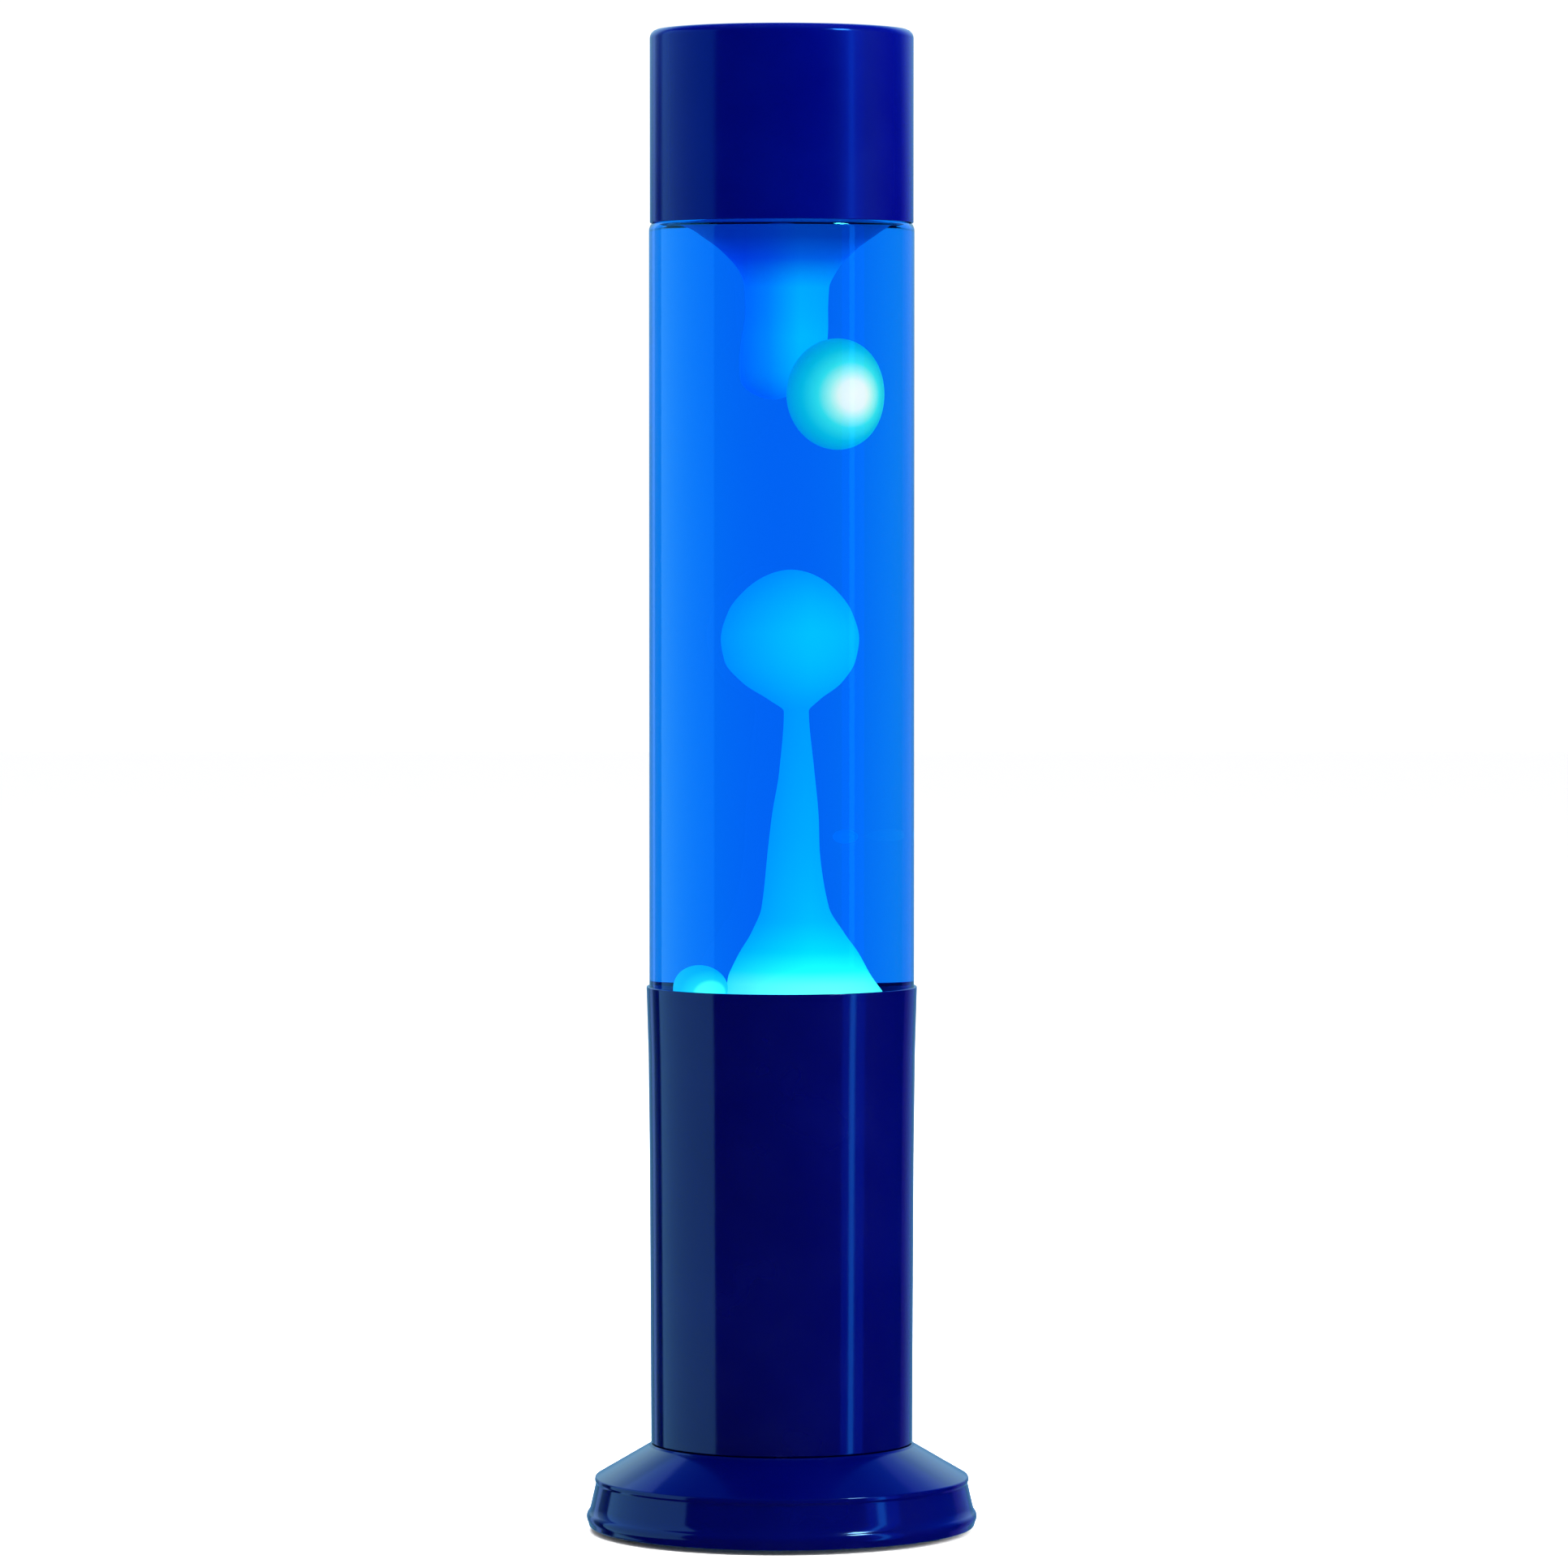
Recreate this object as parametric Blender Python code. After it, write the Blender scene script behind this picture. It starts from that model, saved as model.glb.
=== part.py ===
"""Lava lamp: a painted metal foot and tube that hold a reflector bulb, a bottle of liquid and wax, and a cap.

Every length below is in millimetres and every height is measured from the surface that the lamp stands on;
MM turns them into Blender's metres. The lamp's axis is Z, and +Y is its back.
"""

import math

import bmesh
import bpy
from mathutils import Matrix, Vector

MM = 0.001
GAP = 0.3
MERGE = 1e-7
SHARP_ANGLE = math.radians(35)

# Rounds of the turned pieces
LARGE_STEPS = 28
MEDIUM_STEPS = 16
SMALL_STEPS = 8
WAX_STEPS = 16
HEXAGON = 6
CRIMPS = 21

# Heights of the lamp
RIM_BOTTOM = 1.0
FOOT_TOP = 22.9
TUBE_BOTTOM = FOOT_TOP + GAP
TUBE_TOP = 143.7
CAP_BOTTOM = 344.5
CAP_TOP = 395.1

# Painted shells
SHEET = 0.8
CAP_SHEET = 0.6
TUBE_FOOT_RADIUS = 34.55
TUBE_RIM_RADIUS = 35.65
CAP_RADIUS = 34.65
CAP_CORNER = 1.3
BEAD_RADIUS = 51.6
SKIRT_RADIUS = 50.45
SHOULDER_RADIUS = 49.45
FLANGE_RADIUS = 26.5

# Bottle, its wall and its closure
GLASS_RADIUS = 34.9
GLASS_WALL = 2.4
GLASS_BOTTOM = 132.0
HEEL_RADIUS = 15.0
SHOULDER_START = 340.2
SHOULDER_CORNER = 8.0
SHOULDER_TURN = math.radians(75)
NECK_RADIUS = 12.4
NECK_BORE = 9.6
LIP_RADIUS = 13.3
LIP_TOP = 378.0
FILL_HEIGHT = 362.0
CROWN_TOP = 380.0

# Wax
POOL_HEIGHT = 139.5
WAX_ROOM = 0.5
BUBBLE_CENTRE = (12.4, -14.0, 298.5)
BUBBLE_HALF = (11.4, 11.4, 14.5)
BEAD_CENTRE = (8.4, 29.3, 182.7)
BEAD_HALF = (1.6, 1.6, 1.8)
DOME_CENTRE = (-16.0, 0.0, 143.5)
DOME_HALF = (5.6, 5.6, 6.3)

# Wire coil on the bottle's bottom
COIL_RADIUS = 22.3
COIL_HEIGHT = 136.5
COIL_LOOP = 1.35
COIL_WIRE = 0.35
COIL_TURNS = 17
COIL_POINTS_A_TURN = 6

# Bulb with a small Edison screw, and its holder
BULB_TIP = 52.0
BULB_TOP = 118.5
BULB_RADIUS = 19.5
BULB_GLASS = 0.8
SCREW_RADIUS = 6.95
SCREW_SHELL_BORE = 7.25
HOLDER_RADIUS = 13.5
HOLDER_BOTTOM = 25.8
HOLDER_SPLIT = 46.3
HOLDER_TOP = 70.5

# Fixings
BRACKET_BOTTOM = TUBE_BOTTOM + SHEET + GAP
BRACKET_SHEET = 1.2
BRACKET_REACH = 33.0
TIE_CIRCLE = 30.0
TIE_HOLE = 1.95
TIE_ANGLES = [math.radians(angle) for angle in (30, 150, 270)]
NIPPLE_RADIUS = 4.9
NIPPLE_HOLE = 5.25
PLATE_BOTTOM = 3.0
PLATE_TOP = 4.2
PLATE_RADIUS = 49.2
PLATE_CIRCLE = 42.0
PLATE_SCREW_ANGLES = [math.radians(angle) for angle in (30, 150, 270)]
RUBBER_FOOT_ANGLES = [math.radians(angle) for angle in (90, 210, 330)]
VENT_CIRCLE = 28.0
VENT_RADIUS = 2.6
VENTS = 12
PILLAR_TOP = 14.6
INLET_HEIGHT = 8.9
INLET_RADIUS = 3.9

materials = {}


def clear_scene():
    for item in list(bpy.data.objects):
        bpy.data.objects.remove(item, do_unlink=True)


def add_material(name, colour, roughness, metallic=0.0, alpha=1.0):
    material = bpy.data.materials.new(name)
    material.use_nodes = True
    shader = material.node_tree.nodes["Principled BSDF"]
    shader.inputs["Base Color"].default_value = (*colour, 1.0)
    shader.inputs["Roughness"].default_value = roughness
    shader.inputs["Metallic"].default_value = metallic
    shader.inputs["Alpha"].default_value = alpha
    material.diffuse_color = (*colour, alpha)
    materials[name] = material


def add_materials():
    add_material("blue_paint", (0.0, 0.004, 0.19), 0.18, 0.3)
    add_material("glass", (0.9, 0.97, 1.0), 0.03, alpha=0.25)
    add_material("blue_liquid", (0.0, 0.12, 0.95), 0.05, alpha=0.5)
    add_material("wax", (0.02, 0.55, 0.95), 0.45)
    add_material("steel", (0.56, 0.57, 0.58), 0.35, 1.0)
    add_material("brass", (0.78, 0.58, 0.26), 0.3, 1.0)
    add_material("nickel", (0.68, 0.66, 0.62), 0.25, 1.0)
    add_material("tungsten", (0.2, 0.2, 0.21), 0.5, 1.0)
    add_material("holder_plastic", (0.86, 0.85, 0.81), 0.4)
    add_material("steatite", (0.9, 0.88, 0.82), 0.6)
    add_material("black_glass", (0.02, 0.02, 0.025), 0.15)
    add_material("bulb_glass", (0.95, 0.96, 0.97), 0.25, alpha=0.6)
    add_material("rubber", (0.03, 0.03, 0.03), 0.8)
    add_material("liner_plastic", (0.85, 0.86, 0.84), 0.5)


def add_group(name, height):
    """An empty on the lamp's axis that carries the pieces of one moving body."""
    group = bpy.data.objects.new(name, None)
    group.location = (0, 0, height * MM)
    bpy.context.scene.collection.objects.link(group)
    return group


def add_object(name, shape, material, group, place=(0, 0, 0)):
    """The bmesh as an object in world place, in millimetres, under the group's empty."""
    bmesh.ops.recalc_face_normals(shape, faces=shape.faces)
    mesh = bpy.data.meshes.new(name)
    shape.to_mesh(mesh)
    shape.free()
    mesh.shade_smooth()
    mesh.set_sharp_from_angle(angle=SHARP_ANGLE)
    piece = bpy.data.objects.new(name, mesh)
    bpy.context.scene.collection.objects.link(piece)
    piece.location = Vector(place) * MM
    if material:
        mesh.materials.append(materials[material])
    if group:
        piece.parent = group
        piece.location -= group.location
    return piece


def arc(centre, radius, start, end, steps):
    """Points of a round stretch of an outline, from angle start to angle end."""
    turns = [start + (end - start) * step / steps for step in range(steps + 1)]
    return [(centre[0] + radius * math.cos(turn), centre[1] + radius * math.sin(turn)) for turn in turns]


def spun_shape(outline, steps):
    """Turns an outline of (radius, height) points about Z. One that starts on the axis also ends there."""
    shape = bmesh.new()
    corners = [shape.verts.new((radius * MM, 0, height * MM)) for radius, height in outline]
    ends = corners[1:] if outline[0][0] == 0 else corners[1:] + corners[:1]
    edges = [shape.edges.new(pair) for pair in zip(corners, ends)]
    bmesh.ops.spin(shape, geom=corners + edges, axis=(0, 0, 1), angle=math.tau, steps=steps, use_merge=True)
    bmesh.ops.remove_doubles(shape, verts=shape.verts, dist=MERGE)
    return shape


def turned(name, outline, material, group, steps=LARGE_STEPS, place=(0, 0, 0)):
    return add_object(name, spun_shape(outline, steps), material, group, place)


def extruded(name, outline, low, high, material, group, place=(0, 0, 0)):
    """A flat outline of (x, y) points between two heights."""
    shape = bmesh.new()
    face = shape.faces.new([shape.verts.new((x * MM, y * MM, low * MM)) for x, y in outline])
    raised = bmesh.ops.extrude_face_region(shape, geom=[face])["geom"]
    moved = [item for item in raised if isinstance(item, bmesh.types.BMVert)]
    bmesh.ops.translate(shape, verts=moved, vec=(0, 0, (high - low) * MM))
    return add_object(name, shape, material, group, place)


def ball(name, centre, half, material, group, grow=0.0, steps=WAX_STEPS):
    """An ellipsoid of the given half sizes, each larger by grow."""
    shape = bmesh.new()
    bmesh.ops.create_uvsphere(shape, u_segments=steps, v_segments=steps * 2 // 3, radius=1.0)
    bmesh.ops.scale(shape, vec=[(size + grow) * MM for size in half], verts=shape.verts)
    return add_object(name, shape, material, group, centre)


def as_cutter(piece):
    piece.hide_render = True
    piece.display_type = "WIRE"
    return piece


def combine(piece, other, operation):
    """Adds an exact Boolean of the other object, which becomes a hidden helper."""
    boolean = piece.modifiers.new(operation.lower() + "_" + other.name, "BOOLEAN")
    boolean.operation = operation
    boolean.solver = "EXACT"
    boolean.object = as_cutter(other)


def around(angles, circle):
    """Places on a circle about the axis, in millimetres."""
    return [(circle * math.cos(angle), circle * math.sin(angle)) for angle in angles]


def drill(piece, places, radius, low, high, steps=SMALL_STEPS):
    """Cuts upright round holes through a piece, all with one cutter."""
    shape = bmesh.new()
    for x, y in places:
        middle = Matrix.Translation(Vector((x, y, (low + high) / 2)) * MM)
        bmesh.ops.create_cone(shape, cap_ends=True, segments=steps, radius1=radius * MM,
                              radius2=radius * MM, depth=(high - low) * MM, matrix=middle)
    combine(piece, add_object(piece.name + "_drill", shape, None, None), "DIFFERENCE")


def hexagon(across_flats):
    corner = across_flats / 2 / math.cos(math.pi / HEXAGON)
    return [(corner * math.cos(math.tau * i / HEXAGON), corner * math.sin(math.tau * i / HEXAGON))
            for i in range(HEXAGON)]


# ---------------------------------------------------------------- painted shells

def make_foot_shell(group):
    """Spun foot: rolled bead, skirt, shoulder, cone and a flange that turns in under the tube."""
    cone_drop = 0.94
    outer = [(BEAD_RADIUS - 2.0, RIM_BOTTOM), (BEAD_RADIUS - 0.8, RIM_BOTTOM)]
    outer += arc((BEAD_RADIUS - 2.3, 3.5), 2.3, math.radians(-35), math.radians(50), 4)
    outer += [(SKIRT_RADIUS, 6.5), (SHOULDER_RADIUS - 0.3, 12.4), (SHOULDER_RADIUS, 13.0)]
    outer += [(SHOULDER_RADIUS - 0.2, 13.9), (TUBE_FOOT_RADIUS + 0.9, 22.5), (TUBE_FOOT_RADIUS + 0.4, FOOT_TOP)]
    inner = [(FLANGE_RADIUS, FOOT_TOP), (FLANGE_RADIUS, FOOT_TOP - SHEET)]
    inner += [(TUBE_FOOT_RADIUS, FOOT_TOP - SHEET), (SHOULDER_RADIUS - 1.2, 14.2 - cone_drop)]
    inner += [(SHOULDER_RADIUS - 1.15, 12.4), (BEAD_RADIUS - 2.0, 6.0)]
    foot = turned("foot_shell", outer + inner, "blue_paint", group)
    drill(foot, around(TIE_ANGLES, TIE_CIRCLE), TIE_HOLE, FOOT_TOP - 3, FOOT_TOP + 3)
    cut_inlet(foot)


def cut_inlet(foot):
    """The cable inlet: a hole through the back of the skirt, with a flat seat for the grommet's collar."""
    seat = SKIRT_RADIUS
    outline = [(0, -BEAD_RADIUS - 2), (5.0, -BEAD_RADIUS - 2), (5.0, -seat)]
    outline += [(INLET_RADIUS, -seat), (INLET_RADIUS, -seat + 4), (0, -seat + 4)]
    cutter = turned("inlet_cutter", outline, None, None, MEDIUM_STEPS, (0, 0, INLET_HEIGHT))
    cutter.rotation_euler = (math.pi / 2, 0, 0)
    combine(foot, cutter, "DIFFERENCE")


def make_base_tube(group):
    """Painted tube that widens to its rim, with a flange at its foot."""
    outer = [(TUBE_FOOT_RADIUS, TUBE_BOTTOM), (TUBE_FOOT_RADIUS + 0.35, 100.0), (TUBE_RIM_RADIUS - 0.5, 126.0)]
    outer += [(TUBE_RIM_RADIUS - 0.12, 139.0), (TUBE_RIM_RADIUS, 142.9)]
    lip = [(TUBE_RIM_RADIUS - 0.3, TUBE_TOP), (TUBE_RIM_RADIUS - SHEET + 0.1, TUBE_TOP - 0.2)]
    inner = [(radius - SHEET, height) for radius, height in reversed(outer[1:4])]
    inner += [(TUBE_FOOT_RADIUS - SHEET, TUBE_BOTTOM + SHEET), (FLANGE_RADIUS, TUBE_BOTTOM + SHEET)]
    inner += [(FLANGE_RADIUS, TUBE_BOTTOM)]
    tube = turned("base_tube", outer + lip + inner, "blue_paint", group)
    drill(tube, around(TIE_ANGLES, TIE_CIRCLE), TIE_HOLE, TUBE_BOTTOM - 2, TUBE_BOTTOM + 3)


def make_top_cap(group):
    """Painted cap, a straight cup turned upside down."""
    corner = (CAP_RADIUS - CAP_CORNER, CAP_TOP - CAP_CORNER)
    bore = CAP_RADIUS - CAP_SHEET
    outline = [(0, CAP_TOP - CAP_SHEET), (bore - 0.7, CAP_TOP - CAP_SHEET), (bore, CAP_TOP - CAP_SHEET - 0.7)]
    outline += [(bore, CAP_BOTTOM), (CAP_RADIUS, CAP_BOTTOM)]
    outline += arc(corner, CAP_CORNER, 0, math.pi / 2, 3) + [(0, CAP_TOP)]
    turned("top_cap", outline, "blue_paint", group)


# ---------------------------------------------------------------- bottle and filling

def bottle_side(inset):
    """The bottle's round heel, straight wall and round shoulder, moved in from the outside by inset."""
    heel = arc((GLASS_RADIUS - HEEL_RADIUS, GLASS_BOTTOM + HEEL_RADIUS), HEEL_RADIUS - inset, -math.pi / 2, 0, 5)
    corner = (GLASS_RADIUS - SHOULDER_CORNER, SHOULDER_START)
    return heel + arc(corner, SHOULDER_CORNER - inset, 0, SHOULDER_TURN, 3)


def make_glass_bottle(group):
    outside = [(0, GLASS_BOTTOM + 0.8)] + bottle_side(0)
    outside += [(16.5, 350.4), (13.2, 353.2), (NECK_RADIUS, 357.0), (NECK_RADIUS, 370.5)]
    outside += [(LIP_RADIUS, 371.6), (LIP_RADIUS, LIP_TOP - 1.0), (LIP_RADIUS - 0.8, LIP_TOP)]
    inside = [(0, GLASS_BOTTOM + GLASS_WALL)] + bottle_side(GLASS_WALL)
    inside += [(15.2, 348.1), (10.8, 351.4), (NECK_BORE, 356.0), (NECK_BORE, LIP_TOP - 0.6), (NECK_BORE + 0.6, LIP_TOP)]
    turned("glass_bottle", outside + inside[::-1], "glass", group)


def make_liquid(group):
    """The filling between the wax pool and its level in the neck, cut free around every wax shape."""
    side = [point for point in bottle_side(GLASS_WALL + GAP) if point[1] > POOL_HEIGHT + GAP]
    heel_room = HEEL_RADIUS - GLASS_WALL - GAP
    rise = GLASS_BOTTOM + HEEL_RADIUS - POOL_HEIGHT - GAP
    start = (GLASS_RADIUS - HEEL_RADIUS + math.sqrt(heel_room ** 2 - rise ** 2), POOL_HEIGHT + GAP)
    outline = [(0, POOL_HEIGHT + GAP), start] + side
    outline += [(15.0, 347.7), (10.5, 351.3), (NECK_BORE - GAP, 356.0), (NECK_BORE - GAP, FILL_HEIGHT)]
    liquid = turned("liquid", outline + [(0, FILL_HEIGHT)], "blue_liquid", group)
    combine(liquid, wax_column("plume_room", plume_stations(), None, None, WAX_ROOM), "DIFFERENCE")
    combine(liquid, wax_column("crown_room", crown_stations(), None, None, WAX_ROOM), "DIFFERENCE")
    combine(liquid, ball("dome_room", DOME_CENTRE, DOME_HALF, None, None, WAX_ROOM), "DIFFERENCE")
    combine(liquid, ball("bubble_room", BUBBLE_CENTRE, BUBBLE_HALF, None, None, WAX_ROOM), "DIFFERENCE")
    combine(liquid, ball("bead_room", BEAD_CENTRE, BEAD_HALF, None, None, WAX_ROOM, SMALL_STEPS), "DIFFERENCE")


def plume_stations():
    """Height, centre x, centre y and radius of the rising wax, from inside the pool to the bulb's top."""
    return [
        (138.9, 4.4, 0.0, 18.6), (141.4, 4.4, 0.0, 15.8), (148.0, 3.4, 0.0, 13.4), (153.0, 3.0, 0.0, 11.2),
        (158.0, 2.8, 0.0, 8.9), (165.0, 2.6, 0.0, 6.5), (178.5, 2.3, 0.0, 5.1), (189.0, 2.6, 0.0, 4.5),
        (200.5, 2.9, 0.0, 3.4), (216.5, 2.8, 0.0, 2.4), (219.6, 2.4, 0.0, 5.0), (224.0, 2.0, 0.0, 9.6),
        (229.0, 1.6, 0.0, 12.6), (234.0, 1.6, 0.0, 13.3), (241.0, 1.6, 0.0, 12.0), (247.5, 1.7, 0.0, 8.3),
        (250.8, 1.8, 0.0, 4.6), (252.2, 1.8, 0.0, 0.0),
    ]


def crown_stations():
    """The same for the wax that hangs from the shoulder, from its drooping lobe up into the neck."""
    return [
        (297.9, -1.8, -3.4, 0.0), (299.2, -1.8, -3.4, 4.0), (302.0, -1.7, -3.4, 6.2), (306.5, -1.0, -3.0, 7.3),
        (312.0, 0.4, -1.8, 8.4), (321.0, 1.0, 0.0, 7.9), (327.0, 1.0, 0.0, 8.1), (331.5, 1.2, 0.0, 9.4),
        (337.0, 1.2, 0.0, 13.0), (341.7, 1.2, 0.0, 17.6), (344.6, 0.8, 0.0, 20.4), (346.3, 0.4, 0.0, 16.0),
        (348.4, 0.2, 0.0, 10.2), (352.5, 0.0, 0.0, 7.6), (358.0, 0.0, 0.0, 6.4), (362.0, 0.0, 0.0, 5.4),
        (363.0, 0.0, 0.0, 0.0),
    ]


def wax_column(name, stations, material, group, grow=0.0):
    """A closed body of level rings on the stations. One with a radius of nothing closes in a point."""
    shape = bmesh.new()
    rings = []
    last = len(stations) - 1
    for place, (height, x, y, radius) in enumerate(stations):
        rise = height + grow * (place == last) - grow * (place == 0)
        centre = Vector((x, y, rise)) * MM
        if radius == 0:
            rings.append([shape.verts.new(centre)])
            continue
        reach = (radius + grow) * MM
        turns = [math.tau * step / WAX_STEPS for step in range(WAX_STEPS)]
        rings.append([shape.verts.new(centre + Vector((math.cos(t), math.sin(t), 0)) * reach) for t in turns])
    for low, high in zip(rings, rings[1:]):
        join_rings(shape, low, high)
    for end in (rings[0], rings[-1]):
        if len(end) > 1:
            shape.faces.new(end)
    return add_object(name, shape, material, group)


def join_rings(shape, low, high):
    for step in range(WAX_STEPS):
        after = (step + 1) % WAX_STEPS
        if len(low) == 1:
            shape.faces.new((low[0], high[after], high[step]))
        elif len(high) == 1:
            shape.faces.new((low[step], low[after], high[0]))
        else:
            shape.faces.new((low[step], low[after], high[after], high[step]))


def make_wax(group, bubble_group):
    """Pool with the rising column and a dome, the hanging crown, the bead on the wall and the free bubble."""
    heel_centre = (GLASS_RADIUS - HEEL_RADIUS, GLASS_BOTTOM + HEEL_RADIUS)
    heel_room = HEEL_RADIUS - GLASS_WALL - GAP
    floor = GLASS_BOTTOM + GLASS_WALL + GAP
    surface_turn = math.asin((POOL_HEIGHT - heel_centre[1]) / heel_room)
    coil_room = COIL_LOOP + COIL_WIRE + 0.4
    outline = [(0, floor), (COIL_RADIUS - coil_room - 0.6, floor)]
    outline += arc((COIL_RADIUS, COIL_HEIGHT), coil_room, math.radians(190), math.radians(-15), 6)
    outline += arc(heel_centre, heel_room, math.radians(-67), surface_turn, 3) + [(0, POOL_HEIGHT)]
    pool = turned("wax_plume", outline, "wax", group)
    combine(pool, wax_column("plume_column", plume_stations(), None, None), "UNION")
    combine(pool, ball("plume_dome", DOME_CENTRE, DOME_HALF, None, None), "UNION")
    wax_column("wax_crown", crown_stations(), "wax", group)
    ball("wax_bead", BEAD_CENTRE, BEAD_HALF, "wax", group, steps=SMALL_STEPS)
    ball("wax_bubble", BUBBLE_CENTRE, BUBBLE_HALF, "wax", bubble_group)


def make_wire(name, points, wire, material, group, closed):
    """A round wire along points in millimetres."""
    path = bpy.data.curves.new(name, "CURVE")
    path.dimensions = "3D"
    path.bevel_depth = wire * MM
    path.bevel_resolution = 0
    path.use_fill_caps = not closed
    spline = path.splines.new("POLY")
    spline.points.add(len(points) - 1)
    for target, point in zip(spline.points, points):
        target.co = (*(Vector(point) * MM), 1.0)
    spline.use_cyclic_u = closed
    path.materials.append(materials[material])
    piece = bpy.data.objects.new(name, path)
    bpy.context.scene.collection.objects.link(piece)
    piece.parent = group
    piece.location = -group.location


def make_heat_coil(group):
    """A spring bent into a ring, lying in the corner of the bottle's bottom."""
    points = []
    for step in range(COIL_TURNS * COIL_POINTS_A_TURN):
        loop = math.tau * step / COIL_POINTS_A_TURN
        turn = loop / COIL_TURNS
        reach = COIL_RADIUS + COIL_LOOP * math.cos(loop)
        points.append((reach * math.cos(turn), reach * math.sin(turn), COIL_HEIGHT + COIL_LOOP * math.sin(loop)))
    make_wire("heat_coil", points, COIL_WIRE, "steel", group, closed=True)


def make_crown_closure(group):
    """The crimped crown cap, whose skirt waves in and out, and the sealing disc under it."""
    outline = [(0, CROWN_TOP), (13.0, CROWN_TOP), (14.4, 379.2), (14.9, 376.0), (16.0, 371.8), (15.4, 371.6)]
    outline += [(14.2, 376.0), (13.8, 378.8), (12.8, CROWN_TOP - 0.5), (0, CROWN_TOP - 0.5)]
    shape = spun_shape(outline, CRIMPS * 2)
    waves = [corner for corner in shape.verts if corner.co.z < 376.5 * MM]
    for corner in waves:
        turn = math.atan2(corner.co.y, corner.co.x)
        depth = (376.5 * MM - corner.co.z) * 0.08
        corner.co.xy *= 1 + depth * math.cos(CRIMPS * turn) / corner.co.xy.length
    add_object("crown_cap", shape, "nickel", group)
    liner = [(0, LIP_TOP + GAP), (12.6, LIP_TOP + GAP), (12.6, LIP_TOP + 1.1), (0, LIP_TOP + 1.1)]
    turned("crown_liner", liner, "liner_plastic", group, MEDIUM_STEPS)


def make_bottle_seat(group):
    """Ring pressed into the tube. Its dished edge follows the bottle's heel."""
    heel_centre = (GLASS_RADIUS - HEEL_RADIUS, GLASS_BOTTOM + HEEL_RADIUS)
    outside = 34.0
    top = arc(heel_centre, HEEL_RADIUS + GAP, math.radians(-60), math.radians(-28.5), 3)
    under = arc(heel_centre, HEEL_RADIUS + GAP + 1.2, math.radians(-37.5), math.radians(-60), 3)
    outline = top + [(outside, top[-1][1]), (outside, 127.0), (outside - 1.0, 127.0)] + under
    turned("bottle_seat_ring", outline, "steel", group)


# ---------------------------------------------------------------- bulb and holder

def make_bulb(group, end_group):
    """Reflector bulb. Its insulator and tip contact only rise, the rest also turns."""
    neck = 6.1
    outside = [(0, BULB_TOP), (9.5, 117.6), (15.8, 115.0), (19.0, 112.0), (BULB_RADIUS, 109.0), (19.0, 105.0)]
    outside += [(16.0, 95.5), (11.6, 84.5), (9.0, 78.0), (8.2, 74.6), (neck, 72.6), (neck, 66.0)]
    inside = [(max(radius - BULB_GLASS, 0), height) for radius, height in outside[1:]]
    outline = outside + inside[::-1] + [(0, BULB_TOP - BULB_GLASS)]
    turned("bulb_envelope", outline, "bulb_glass", group, MEDIUM_STEPS)
    cap = [(6.2, 55.6), (SCREW_RADIUS, 57.0), (SCREW_RADIUS, 72.0), (SCREW_RADIUS - 0.5, 72.0)]
    cap += [(SCREW_RADIUS - 0.5, 57.2), (5.9, 56.2), (5.6, 55.6)]
    turned("bulb_screw_cap", cap, "nickel", group, MEDIUM_STEPS)
    stem = [(0, 62.0), (4.6, 62.0), (4.6, 63.0), (2.0, 68.0), (1.6, 82.0), (2.2, 84.0), (0, 85.0)]
    turned("bulb_stem", stem, "glass", group, SMALL_STEPS)
    insulator = [(1.3, 53.3), (3.4, 53.3), (5.9, 55.3), (1.3, 55.3)]
    turned("bulb_insulator", insulator, "black_glass", end_group, MEDIUM_STEPS)
    tip = [(0, BULB_TIP), (1.6, BULB_TIP), (2.3, 52.4), (2.3, 53.0), (1.0, 53.0), (1.0, 55.0), (0, 55.0)]
    turned("bulb_tip_contact", tip, "steel", end_group, SMALL_STEPS)
    make_filament(group)


def make_filament(group):
    """Two leads that stand beside the stem, with the coiled filament in an arc between them."""
    lead, spread, low, high = 2.7, 6.5, 72.0, 97.0
    turns, points_a_turn, loop = 9, 4, 0.7
    points = [(-lead, 0, low), (-lead, 0, 82.0), (-spread, 0, high)]
    for step in range(1, turns * points_a_turn):
        along = step / (turns * points_a_turn)
        turn = math.tau * step / points_a_turn
        points.append((spread * (2 * along - 1), loop * math.cos(turn) - 2.0 * math.sin(math.pi * along),
                       high + loop * math.sin(turn)))
    points += [(spread, 0, high), (lead, 0, 82.0), (lead, 0, low)]
    make_wire("bulb_filament", points, 0.18, "tungsten", group, closed=False)


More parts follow.
